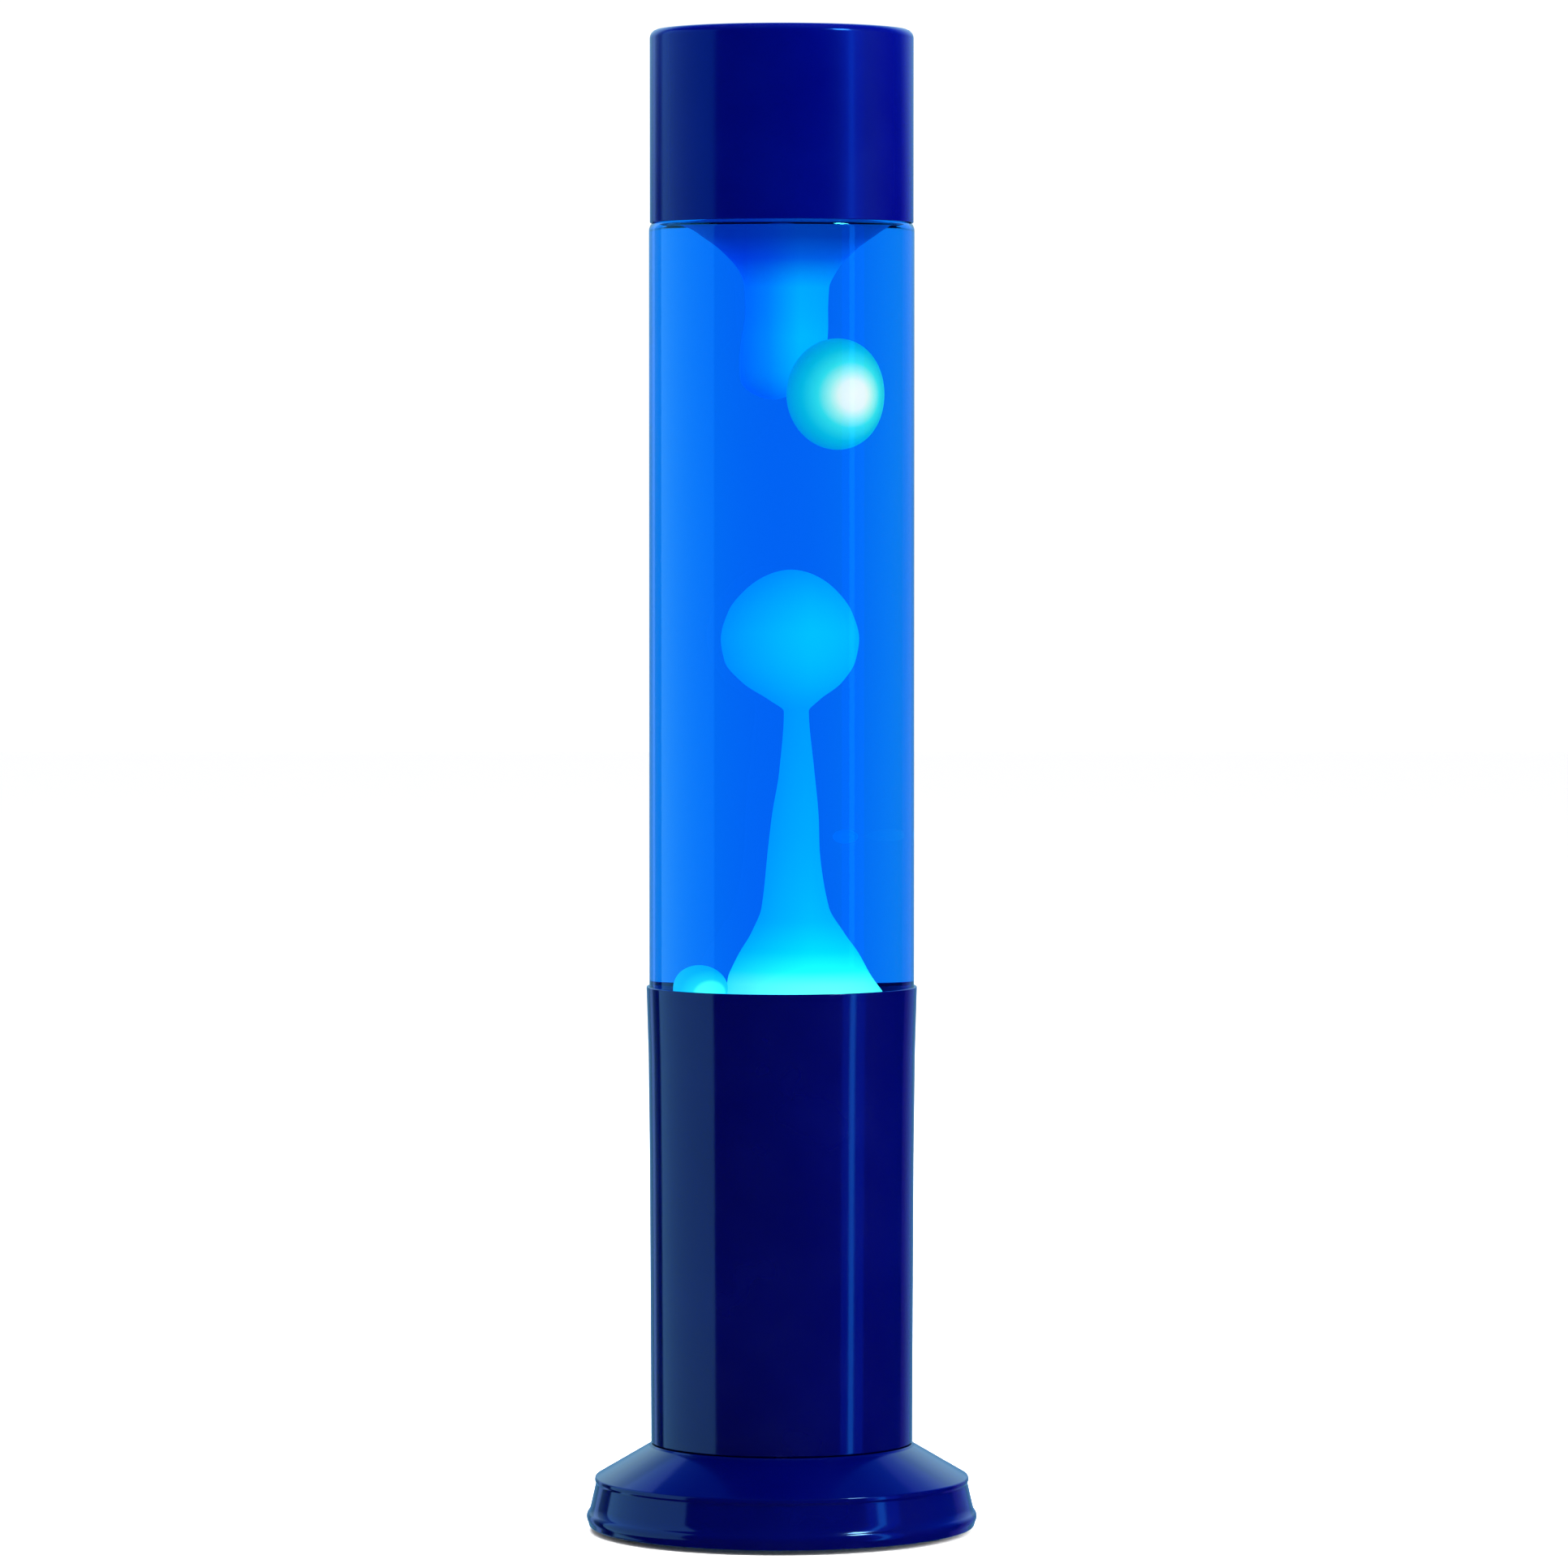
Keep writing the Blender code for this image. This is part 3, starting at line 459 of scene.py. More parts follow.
# The plume and the crown, as (height, x, y, radius) from the bottom up.
PLUME = [
    (137.5, 4.4, 0, 21), (139.6, 4.4, 0, 17.8), (141.4, 4.4, 0, 15.8), (148, 3.4, 0, 13.4),
    (153, 3.3, 0, 11.5), (158, 3.1, 0, 9.1), (165, 2.6, 0, 6.5), (178.5, 2.3, 0, 5.1),
    (189, 2.6, 0, 4.5), (200.5, 2.9, 0, 3.4), (216.5, 2.8, 0, 2.4), (219.6, 2.4, 0, 5),
    (224, 2, 0, 9.6), (229.6, 1.6, 0, 12.6), (235.4, 1.6, 0, 13.3), (242.4, 1.6, 0, 11.9),
    (248.6, 1.7, 0, 8.4), (253.5, 1.8, 0, 0),
]
CROWN = [
    (297.9, -1.8, -3.4, 0), (302, -1.7, -3.4, 6.2), (306.5, -1, -3, 7.3), (312, 0.4, -1.8, 8.4),
    (321, 1, 0, 7.9), (327, 1, 0, 8.1), (331.5, 1.2, 0, 9.4), (337, 1.2, 0, 13),
    (341.7, 1.2, 0, 17.6), (344.6, 0.8, 0, 20.4), (346.3, 0.4, 0, 16), (348.4, 0.2, 0, 10.2),
    (352.5, 0, 0, 7.6), (358, 0, 0, 6.4), (363, 0, 0, 0),
]


def slopes(heights, values):
    """Slopes of a smooth curve through the values that never swings past them."""
    steps = [(b - a) / (d - c) for a, b, c, d in zip(values, values[1:], heights, heights[1:])]
    inner = [0 if a * b <= 0 else 2 * a * b / (a + b) for a, b in zip(steps, steps[1:])]
    return [steps[0]] + inner + [steps[-1]]


def smooth_column(stations, parts=8):
    """Stations refined so that radius squared runs smoothly, which rounds off the ends."""
    heights = [station[0] for station in stations]
    tracks = [[s[1] for s in stations], [s[2] for s in stations], [s[3] ** 2 for s in stations]]
    turns = [slopes(heights, track) for track in tracks]
    made = []
    for i in range(len(stations) - 1):
        gap = heights[i + 1] - heights[i]
        for part in range(parts):
            share = part / parts
            if stations[i][3] == 0:
                share = share ** 2
            if stations[i + 1][3] == 0:
                share = 1 - (1 - share) ** 2
            made.append(blend_station(heights, tracks, turns, i, gap, share))
    return made + [stations[-1]]


def blend_station(heights, tracks, turns, i, gap, share):
    """One point of the Hermite curves between station i and the next."""
    s2, s3 = share ** 2, share ** 3
    values = []
    for track, turn in zip(tracks, turns):
        start, end = track[i] * (2 * s3 - 3 * s2 + 1), track[i + 1] * (3 * s2 - 2 * s3)
        values.append(start + end + gap * (turn[i] * (s3 - 2 * s2 + share) + turn[i + 1] * (s3 - s2)))
    return heights[i] + gap * share, values[0], values[1], sqrt(max(values[2], 0))


def wax_column(name, stations, look, node, steps=72):
    vertices, rings = [], []
    for height, x, y, radius in smooth_column(stations):
        count = steps if radius > 1e-6 else 1
        rings.append(range(len(vertices), len(vertices) + count))
        turns = [tau * step / steps for step in range(count)]
        vertices += [(x + radius * cos(turn), y + radius * sin(turn), height) for turn in turns]
    faces = []
    for low, high in zip(rings, rings[1:]):
        faces += band(low, high, steps)
    faces += [tuple(end) for end in (rings[0], rings[-1]) if len(end) > 1]
    mesh_piece(name, vertices, faces, look, "bottle", node)


def middle_of(node):
    low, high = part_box(node)
    return (low + high) / 2 / MM


def wax_ball(name, node, look, body, rise=0.0):
    """An ellipsoid the size of the node's box."""
    low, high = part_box(node)
    half = (high - low) / 2 / MM
    outline = arc((0, 0), 1, -90, 90, 40)
    outline = [(0 if abs(radius) < 1e-9 else radius, height) for radius, height in outline]
    vertices, faces = spin(outline, 72)
    points = [(x * half.x, y * half.y, z * half.z + rise) for x, y, z in vertices]
    mesh_piece(name, points, faces, look, body, node, middle_of(node))


def make_column_looks():
    # Painted light on the plume: brightest at its foot, nearest the bulb, with painted shade on its left
    # side.
    LOOKS["wax plume"] = make_wax_column("wax_plume_glow", 139, 252, [
        (0, (0.46, 1, 0.52)), (0.055, (0.36, 1, 0.5)), (0.085, (0.04, 0.85, 0.46)),
        (0.13, (0, 0.6, 0.42)), (0.2, (0, 0.46, 0.4)), (0.4, (0, 0.4, 0.4)), (0.7, (0, 0.36, 0.39)),
        (0.87, (0, 0.39, 0.39)), (1, (0, 0.33, 0.38))],
        -13, 8, [(0, (1, 0.6, 0.95)), (0.6, (1, 0.85, 0.98)), (0.9, (1, 0.97, 1))])
    # Painted shade on the crown: darker towards its top under the cap, and on its left side.
    LOOKS["wax crown"] = make_wax_column("wax_crown_glow", 298, 345, [
        (0, (0, 0.2, 0.37)), (0.15, (0, 0.33, 0.38)), (0.35, (0, 0.38, 0.4)),
        (0.62, (0, 0.34, 0.4)), (0.78, (0, 0.07, 0.27)), (0.9, (0, 0.015, 0.13)),
        (1, (0, 0.012, 0.11))],
        -8, 5, [(0, (1, 0.3, 0.93)), (0.4, (1, 0.5, 0.96)), (0.9, (1, 1, 1))])
    # Painted light on the pool: brightest at its top surface, with painted shade on its left side.
    LOOKS["wax pool"] = make_wax_column("wax_pool_glow", 133, 139, [
        (0, (0.02, 0.26, 0.26)), (0.7, (0.1, 0.5, 0.36)), (1, (0.44, 0.98, 0.52))],
        -13, 8, [(0, (1, 0.8, 0.97)), (0.9, (1, 1, 1))])


def make_blob_looks():
    # Painted highlight on the free ball: a near-white core that fades to blue at its rim.
    LOOKS["wax ball"] = make_wax_blob("wax_bubble_glow", middle_of("wax_bubble"), (4.8, 9, 0.5), 18, [
        (0, (0.5, 0.4, 0.32)), (0.22, (0.46, 0.4, 0.32)), (0.34, (0.2, 0.39, 0.3)),
        (0.48, (0.02, 0.34, 0.29)), (0.7, (0, 0.25, 0.27)), (1, (0, 0.17, 0.26))])
    # Painted light on the bead: a little brighter at its middle.
    LOOKS["wax bead"] = make_wax_blob("wax_bead_glow", middle_of("wax_bead"), (0, 0, 0), 3, [
        (0, (0, 0.46, 0.42)), (1, (0, 0.36, 0.4))])
    # Painted highlight on the dome: a bright core in front of and behind its middle.
    dome_centre = (DOME_PLACE[0], 0, DOME_FOOT)
    LOOKS["wax dome"] = make_wax_blob("wax_dome_glow", dome_centre, (1.6, 5, -1.5), 7, [
        (0, (0.34, 0.95, 0.52)), (0.5, (0.24, 0.85, 0.5)), (0.62, (0.03, 0.52, 0.42)),
        (1, (0, 0.36, 0.38))])


def make_wax():
    """The risen wax, its free ball and bead, and the molten pool with a small dome beside the plume."""
    wax_column("wax_plume_body", PLUME, "wax plume", "wax_plume")
    wax_column("wax_crown_body", CROWN, "wax crown", "wax_crown")
    wax_ball("wax_bubble_body", "wax_bubble", "wax ball", "bubble", rise=BUBBLE_RISE)
    wax_ball("wax_bead_body", "wax_bead", "wax bead", "bottle")
    radius, low, _ = extent("glass_bottle")
    floor = low + GLASS_WALL
    heel = arc((radius - HEEL, low + HEEL), HEEL - GLASS_WALL - 0.3, -88, -37.6, 12)
    outline = [(0, floor + 1.5), (8, floor + 1.3, 6)] + heel + [(24, POOL_HEIGHT - 0.3, 3), (0, POOL_HEIGHT)]
    turned("wax_pool", outline, "wax pool", "bottle")
    dome = [(DOME_RADIUS * radius if height < 0.999 else 0, DOME_FOOT + DOME_HEIGHT * height)
            for radius, height in arc((0, 0), 1, 0, 90, 16)]
    turned("wax_dome", [(0, 138), (DOME_RADIUS, 138)] + dome, "wax dome", "bottle", None, 64, DOME_PLACE)


# ---- cuts and wires

def cut(piece, places, radius, low, high, steps=SMALL_STEPS):
    """Upright round holes through a piece that stands on its own, made real with a Boolean."""
    cutter = bmesh.new()
    for x, y in places:
        middle = Matrix.Translation(Vector((x, y, (low + high) / 2)) * MM)
        bmesh.ops.create_cone(cutter, cap_ends=True, segments=steps, radius1=radius * MM, radius2=radius * MM,
                              depth=(high - low) * MM, matrix=middle)
    subtract(piece, cutter)


def cut_slot(piece, node, turn, width, length, low, high):
    """A screwdriver slot across the middle of the node."""
    cutter = bmesh.new()
    size = Matrix.Diagonal((length * MM, width * MM, (high - low) * MM, 1))
    middle = Matrix.Translation(Vector((*centre_of(node), (low + high) / 2)) * MM)
    turned_cube = middle @ Matrix.Rotation(turn, 4, "Z") @ size
    bmesh.ops.create_cube(cutter, size=1.0, matrix=turned_cube)
    subtract(piece, cutter)


def subtract(piece, cutter):
    mesh = bpy.data.meshes.new("cutter")
    cutter.to_mesh(mesh)
    cutter.free()
    helper = add_object("cutter", mesh)
    boolean = piece.modifiers.new("cut", "BOOLEAN")
    boolean.operation = "DIFFERENCE"
    boolean.solver = "EXACT"
    boolean.object = helper
    bpy.context.view_layer.update()
    graph = bpy.context.evaluated_depsgraph_get()
    made = bpy.data.meshes.new_from_object(piece.evaluated_get(graph))
    piece.modifiers.clear()
    piece.data = made
    made.set_sharp_from_angle(angle=SHARP_ANGLE)
    bpy.data.objects.remove(helper)


def wire(name, points, thickness, look, body, node, closed=False):
    """A round wire through points in millimetres."""
    path = bpy.data.curves.new(name, "CURVE")
    path.dimensions = "3D"
    path.bevel_depth = thickness * MM
    path.bevel_resolution = 2
    path.use_fill_caps = not closed
    spline = path.splines.new("POLY")
    spline.points.add(len(points) - 1)
    for target, point in zip(spline.points, points):
        target.co = (*(Vector(point) * MM), 1)
    spline.use_cyclic_u = closed
    dress(name, path, look, body, node)


def around(degrees, circle):
    """Places at these turns on a circle about Z."""
    turns = [radians(turn) for turn in degrees]
    return [(circle * cos(turn), circle * sin(turn)) for turn in turns]


def centre_of(node):
    middle = middle_of(node)
    return middle.x, middle.y


def heights_of(node):
    return extent(node)[1:]


def ladder(radius, low, high, gap):
    """Points straight up a wall, close enough together to carry a thread."""
    count = max(2, round(abs(high - low) / gap))
    return [(radius, low + (high - low) * step / count) for step in range(count + 1)]


def thread(pitch, depth, low, high):
    """Bends a turned wall into a right-hand screw thread that fades in and out at its ends."""
    def bend(radius, height, turn):
        fade = max(0, min(1, (height - low) / pitch * 2, (high - height) / pitch * 2))
        return radius + fade * depth * sin(tau * height / pitch - turn)
    return bend


def hexagonal(across_flats):
    """Bends a turned wall into a hexagon where it reaches past the flats."""
    def bend(radius, height, turn):
        side = turn % (tau / 6) - pi / 6
        return min(radius, across_flats / 2 / cos(side))
    return bend


# ---- closure and coil

CRIMPS = 21
LINER_BORE = 9.9


def make_crown_closure():
    """The crown cap, with a rounded top and flutes that open towards its edge, and the liner in it."""
    radius, low, high = extent("crown_cap")
    flare, skirt_top, skirt_low, sheet = 376.8, 376.2, 372.6, 0.45

    def crimp(reach, height, turn):
        wave = cos(CRIMPS * turn) - 0.25 * cos(2 * CRIMPS * turn)
        return reach + 0.55 * max(0, (flare - height) / (flare - low)) * wave

    slant = 0.13
    wall = ladder(14.5, skirt_top, skirt_low, 0.4)
    skirt = [(reach + (skirt_top - height) * slant, height) for reach, height in wall]
    outside = [(0, high), (12.4, high, 1.6), (13.9, 378.2, 0.8), (14, 377.6), (14.25, flare)] + skirt
    outside += up(low, (radius - 1.3, 0.9), (radius - 0.9, 0.25), (radius - 0.7, 0))
    inside = [(reach - sheet, height) for reach, height in reversed(skirt)]
    inside += [(14.25 - sheet, flare), (13.6, 377.8, 0.6), (12.6, high - sheet, 1.4), (0, high - sheet)]
    turned("crown_closure", outside + inside, "nickel", "bottle", "crown_cap", CRIMPS * 12, radius_of=crimp)
    reach, low, high = extent("crown_liner")
    disc = up(low, (0, 0), (LINER_BORE, 0), (LINER_BORE + 0.3, 0.12, 0.1), (reach - 0.4, 0, 0.2))
    disc += [(reach, low + 0.3, 0.2), (reach, high, 0.2), (0, high)]
    turned("closure_liner", disc, "liner_plastic", "bottle", "crown_liner")


def make_heat_coil():
    """A fine spring bent into a ring in the corner of the bottle's bottom."""
    low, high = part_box("heat_coil")
    wire_radius, loops, points_a_loop = 0.3, 58, 14
    height = (low.z + high.z) / 2 / MM
    loop = (high.z - low.z) / 2 / MM - wire_radius
    ring = high.x / MM - loop - wire_radius
    points = []
    for step in range(loops * points_a_loop):
        curl = tau * step / points_a_loop
        turn = curl / loops
        reach = ring + loop * cos(curl)
        points.append((reach * cos(turn), reach * sin(turn), height + loop * sin(curl)))
    wire("heat_spring", points, wire_radius, "steel", "bottle", "heat_coil", closed=True)


def make_bottle_seat():
    """A pressed ring whose dished edge follows the bottle's heel."""
    radius, low, _ = extent("bottle_seat_ring")
    glass_radius, glass_low, _ = extent("glass_bottle")
    heel = (glass_radius - HEEL, glass_low + HEEL)
    dish = arc(heel, HEEL + 0.25, -27, -62, 14)
    under = arc(heel, HEEL + 1.45, -62, -36, 14)
    outline = [(radius, low, 0.3), (radius, dish[0][1], 0.5)] + dish + under
    outline += [(radius - 1.1, under[-1][1] - 1, 0.6), (radius - 1.1, low, 0.3)]
    turned("seat_ring", outline, "steel", "base", "bottle_seat_ring")


# ---- bulb and holder

SCREW_PITCH = 2.82
SCREW_DEPTH = 0.32
BULB_GLASS = 0.8
GRIP_RIBS = 36
RIB_DEPTH = 0.28


def make_bulb():
    """Reflector bulb: silvered cone, frosted front, rolled screw cap, stem, leads and coiled filament."""
    radius, low, high = extent("bulb_envelope")
    neck, silver_low, silver_high = 6.1, high - 44, high - 12
    outside = up(high, (0, 0), (9.5, -0.9, 8), (15.8, -3.4, 8), (19, -6.4, 6), (radius, -9.5, 4))
    outside += up(high, (19, -13.5, 6), (16, -23), (11.6, -34), (9, -40.5, 10), (8, -44.2, 3))
    outside += [(neck, high - 46, 2), (neck, low)]
    inside = [(row[0] - BULB_GLASS, *row[1:]) for row in reversed(outside[1:])]
    outline = outside + inside + [(0, high - BULB_GLASS)]
    envelope = turned("reflector_bulb", outline, "bulb_glass", "bulb", "bulb_envelope", steps=96)
    envelope.data.materials.append(LOOKS["reflector_silver"])
    for face in envelope.data.polygons:
        face.material_index = int(silver_low < face.center.z / MM < silver_high)
    make_screw_cap()
    low, high = heights_of("bulb_stem")
    stem = up(low, (0, 0, 0), (4.6, 0, 0.3), (4.6, 1, 0.6), (2.4, 5.5, 4), (1.5, 12, 6))
    stem += up(high, (1.6, -3.4, 1), (2.2, -1.4, 1), (0, 0))
    turned("glass_stem", stem, "glass", "bulb", "bulb_stem", SMALL_STEPS)
    make_filament()


def make_screw_cap():
    """The bulb's threaded cap, its black glass insulator and the blob of solder at its tip."""
    radius, low, high = extent("bulb_screw_cap")
    wall, sheet = radius - SCREW_DEPTH, 0.35
    thread_low, thread_high = low + 1.6, high - 1.2
    outside = up(low, (5.9, 0.1), (wall - 0.3, 1.3, 0.4)) + ladder(wall, thread_low, thread_high, 0.2)
    outside += [(wall - 0.05, high - 0.8), (wall + 0.1, high, 0.1)]
    inside = [(row[0] - sheet, row[1]) for row in reversed(outside[1:])] + [(5.5, low + 0.1)]
    turned("edison_cap", outside + inside, "nickel", "bulb", "bulb_screw_cap", 72,
           radius_of=thread(SCREW_PITCH, SCREW_DEPTH, thread_low, thread_high))
    reach, low, high = extent("bulb_insulator")
    cone = [(1.3, low, 0.2), (3.4, low, 0.4), (reach, high - 0.3, 0.2), (reach, high, 0.1), (1.3, high)]
    turned("vitrite_insulator", cone, "black_glass", "bulb_end", "bulb_insulator", 64)
    reach, low, high = extent("bulb_tip_contact")
    solder = up(low, (0, 0), (1.2, 0.08, 0.6), (reach, 0.55, 0.4), (reach - 0.1, 1))
    solder += [(1, low + 1), (1, high), (0, high)]
    turned("solder_contact", solder, "steel", "bulb_end", "bulb_tip_contact", SMALL_STEPS)


def make_filament():
    """Two leads up from the stem, and a bowed coil between them."""
    low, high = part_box("bulb_filament")
    lead, spread, foot = 2.7, high.x / MM - 0.2, low.z / MM
    height, knee = high.z / MM - 0.9, foot + 10
    turns, points_a_turn, loop, bow, wire_radius = 26, 12, 0.6, 2, 0.12
    points = [(-lead, 0, foot), (-lead, 0, knee), (-lead - 0.3, 0, knee + 1), (-spread, 0, height)]
    for step in range(1, turns * points_a_turn):
        along = step / (turns * points_a_turn)
        curl = tau * step / points_a_turn
        back = bow * sin(pi * along)
        aside = spread * (2 * along - 1)
        points.append((aside, loop * cos(curl) - back, height + loop * sin(curl)))
    points += [(spread, 0, height), (lead + 0.3, 0, knee + 1), (lead, 0, knee), (lead, 0, foot)]
    wire("coiled_filament", points, wire_radius, "tungsten", "bulb", "bulb_filament")


def make_holder():
    """Two-part holder with moulded grip ribs, its threaded shell, steatite block and contacts."""
    radius, low, high = extent("holder_base")
    bore, socket, floor, room_low = 5.3, 11.3, 29.2, 36.0

    def ribbed(reach, height, turn):
        deep = RIB_DEPTH * max(0, min(1, (height - 37.5) * 2, (high - 1.5 - height) * 2))
        return reach - deep * (reach > 13 and cos(GRIP_RIBS * turn) > 0.2)

    outline = [(bore, low, 0.2), (10.6, low, 0.8), (12.4, low + 2.4, 1), (radius, room_low, 1.5)]
    outline += ladder(radius, 37.4, high - 1.4, 0.25) + [(radius, high, 0.3), (socket, high, 0.2)]
    outline += [(socket, room_low, 1), (10, floor, 1), (bore, floor, 0.2)]
    turned("holder_lower", outline, "holder_plastic", "base", "holder_base", GRIP_RIBS * 6, radius_of=ribbed)
    radius, low, high = extent("holder_body")
    bore, step = 9.7, 50.9
    outline = [(socket, low, 0.2), (radius, low, 0.4), (radius, low + 3.7, 0.8), (12.6, 53, 0.8)]
    outline += [(12.35, 60, 0.2), (12.7, 60.4, 0.3), (12.7, 61.4, 0.3), (12.3, 61.8, 0.2)]
    outline += [(12.2, high, 0.5), (bore, high, 0.4), (bore, step, 0.2), (socket, step, 0.2)]
    turned("holder_upper", outline, "holder_plastic", "base", "holder_body", 96)
    make_socket()


def make_socket():
    """The steatite block in the holder, the threaded shell, the centre contact and the terminal screws."""
    radius, low, high = extent("contact_block")
    ledge = high - 1.2
    spigot = radius - 0.8
    outline = [(0, low), (radius, low, 0.4), (radius, ledge, 0.2), (spigot, ledge, 0.2), (spigot, high, 0.4)]
    outline += [(0, high)]
    block = turned("steatite_block", outline, "steatite", "base", "contact_block", 96)
    screw_hole = 1.7
    cut(block, [centre_of("terminal_screw_1"), centre_of("terminal_screw_2")], screw_hole, low - 1, high + 1)
    radius, low, high = extent("screw_shell")
    sheet = 0.4
    bore = radius - SCREW_DEPTH - 0.4
    wall = bore + sheet
    outside = [(5, low), (wall, low, 0.4)] + ladder(wall, low + 0.8, high - 0.8, 0.2) + [(wall, high, 0.1)]
    inside = [(row[0] - sheet, row[1]) for row in reversed(outside[2:])]
    inside += [(bore, low + sheet), (5, low + sheet)]
    turned("edison_shell", outside + inside, "brass", "base", "screw_shell", 72,
           radius_of=threaded_outside(SCREW_PITCH, SCREW_DEPTH, low + 1, high - 0.8, 6))
    make_tongue()
    make_terminals()


def make_tongue():
    """The springy tongue under the bulb's tip: a strip with a waist, bowed upwards in the middle."""
    low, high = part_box("centre_contact")
    left, right, bottom, top = low.x / MM, high.x / MM, low.z / MM, high.z / MM
    half, sheet, count = high.y / MM - 0.05, 0.32, 40
    vertices, faces = [], []
    for step in range(count + 1):
        share = step / count
        hump, waist = min(max((share - 0.12) / 0.7, 0), 1), min(max((share - 0.1) / 0.8, 0), 1)
        x = left + (right - left) * share
        width = half * (1 - 0.45 * sin(pi * waist))
        under = bottom + (top - bottom - sheet) * 0.5 * (1 - cos(tau * hump))
        over = under + sheet
        vertices += [(x, -width, under), (x, width, under), (x, width, over), (x, -width, over)]
    for row in range(count):
        for side in range(4):
            here, after = row * 4 + side, row * 4 + (side + 1) % 4
            faces.append((here, after, after + 4, here + 4))
    faces += [(0, 1, 2, 3), tuple(range(count * 4, count * 4 + 4))]
    mesh_piece("contact_tongue", vertices, faces, "brass", "base", "centre_contact")


def make_terminals():
    low, high = heights_of("terminal_screw_1")
    thread_low, thread_high = low + 2.7, high - 0.3
    screw = up(low, (0, 0), (1.9, 0, 0.3), (2.2, 0.5, 0.3), (2.2, 2.4, 0.2), (1.25, 2.5))
    screw += ladder(1.2, thread_low, thread_high, 0.1) + [(0.8, high), (0, high)]
    for number in (1, 2):
        node = f"terminal_screw_{number}"
        piece = fixing(f"terminal_{number}", screw, "brass", node, thread(0.6, 0.1, thread_low, thread_high))
        cut_slot(piece, node, radians(25 * number), 0.6, 6, low - 1, low + 0.7)


# ---- bracket, fixings and foot

NIPPLE_HOLE = 5.25


def make_bracket():
    """Three arms with rounded tips from a hub, clamped by the tie screws."""
    low, high = heights_of("holder_bracket")
    reach, hub, half_width, tip_steps, blend_steps = 33, 11.5, 5, 24, 12
    outline = []
    for arm in TIE_TURNS:
        along, across = compass(arm)
        for step in range(tip_steps + 1):
            turn = pi * step / tip_steps - pi / 2
            tip = along * (reach - half_width + half_width * cos(turn))
            outline.append(tip + across * half_width * sin(turn))
        next_along, next_across = compass(arm + 120)
        leave, corner = along * hub + across * half_width, compass(arm + 60)[0] * hub
        arrive = next_along * hub - next_across * half_width
        for step in range(blend_steps + 1):
            share = step / blend_steps
            outline.append(leave * (1 - share) ** 2 + corner * 2 * share * (1 - share) + arrive * share ** 2)
    plate = plate_piece("bracket_plate", outline, low, high, "steel", "base", "holder_bracket")
    cut(plate, [(0, 0)], NIPPLE_HOLE, low - 1, high + 1)
    cut(plate, around(TIE_TURNS, TIE_CIRCLE), TIE_HOLE, low - 1, high + 1)


def compass(degrees):
    """The directions outwards and anticlockwise at this turn about Z."""
    turn = radians(degrees)
    return Vector((cos(turn), sin(turn))), Vector((-sin(turn), cos(turn)))


def plate_piece(name, outline, low, high, look, body, node):
    """A flat plate with eased edges from an outline of (x, y) points."""
    ease = 0.15
    centre = sum(outline, Vector((0, 0))) / len(outline)
    vertices = []
    for height, inset in [(low, ease), (low + ease, 0), (high - ease, 0), (high, ease)]:
        vertices += [(*(point - (point - centre).normalized() * inset), height) for point in outline]
    count = len(outline)
    faces = [tuple(range(count))[::-1], tuple(range(count * 3, count * 4))]
    for layer in range(3):
        for step in range(count):
            here, after = layer * count + step, layer * count + (step + 1) % count
            faces.append((here, after, after + count, here + count))
    return mesh_piece(name, vertices, faces, look, body, node)


def fixing(name, outline, look, node, radius_of=None, steps=SMALL_STEPS):
    """A small turned piece on the base, upright at its node's place."""
    return turned(name, outline, look, "base", node, steps, (*centre_of(node), 0), radius_of)


def make_nut(name, node, across, hole):
    low, high = heights_of(node)
    flat = across / 2
    corner = flat / cos(pi / 6)
    drop = (corner - flat) * 0.6
    outline = up(low, (hole, 0.3), (hole + 0.3, 0), (flat * 0.96, 0), (corner, drop))
    outline += up(high, (corner, -drop), (flat * 0.96, 0), (hole + 0.3, 0), (hole, -0.3))
    fixing(name, outline, "steel", node, hexagonal(across), steps=72)


def make_fixings():
    """The nipple and its nut under the holder, and the tie screws with theirs."""
    low, high = heights_of("threaded_nipple")
    bore, wall = 3.6, 4.78
    tube = up(low, (bore, 0.3), (bore + 0.3, 0), (wall - 0.3, 0))
    tube += ladder(wall, low + 0.3, high - 0.3, 0.12)
    tube += up(high, (wall - 0.3, 0), (bore + 0.3, 0), (bore, -0.3))
    turned("nipple_tube", tube, "brass", "base", "threaded_nipple", 64,
           radius_of=threaded_outside(1, 0.12, low, high, 4.5))
    make_nut("nipple_hex_nut", "nipple_nut", 14, NIPPLE_HOLE)
    for number in (1, 2, 3):
        node = f"tie_screw_{number}"
        low, high = heights_of(node)
        seat = high - 2.0
        thread_low, thread_high = low + 0.4, seat - 1.5
        screw = up(low, (0, 0), (1, 0)) + ladder(1.4, thread_low, thread_high, 0.1)
        screw += up(seat, (1.45, 0), (2.8, 0, 0.15), (2.8, 1.1, 0.5)) + up(high, (1.9, -0.25, 0.6), (0, 0))
        bend = threaded_outside(0.5, 0.09, thread_low, thread_high, 1.3)
        bolt = fixing(f"tie_bolt_{number}", screw, "steel", node, bend)
        cross_slots(bolt, node, 20 + 47 * number, 0.55, 3.2, high - 0.9, high + 1)
        make_nut(f"tie_hex_nut_{number}", f"tie_nut_{number}", 5.5, 1.75)


def threaded_outside(pitch, depth, low, high, least):
    """A thread on the wall that lies outside the least radius."""
    bend = thread(pitch, depth, low, high)
    return lambda radius, height, turn: bend(radius, height, turn) if radius > least else radius


def cross_slots(piece, node, degrees, width, length, low, high):
    for turn in (radians(degrees), radians(degrees) + pi / 2):
        cut_slot(piece, node, turn, width, length, low, high)


PLATE_CIRCLE = 42.0
PLATE_STEPS = 32
SCREW_TURNS = (30, 150, 270)
RUBBER_TURNS = (90, 210, 330)
VENTS = 12
VENT_CIRCLE = 28.0
VENT_RADIUS = 2.6


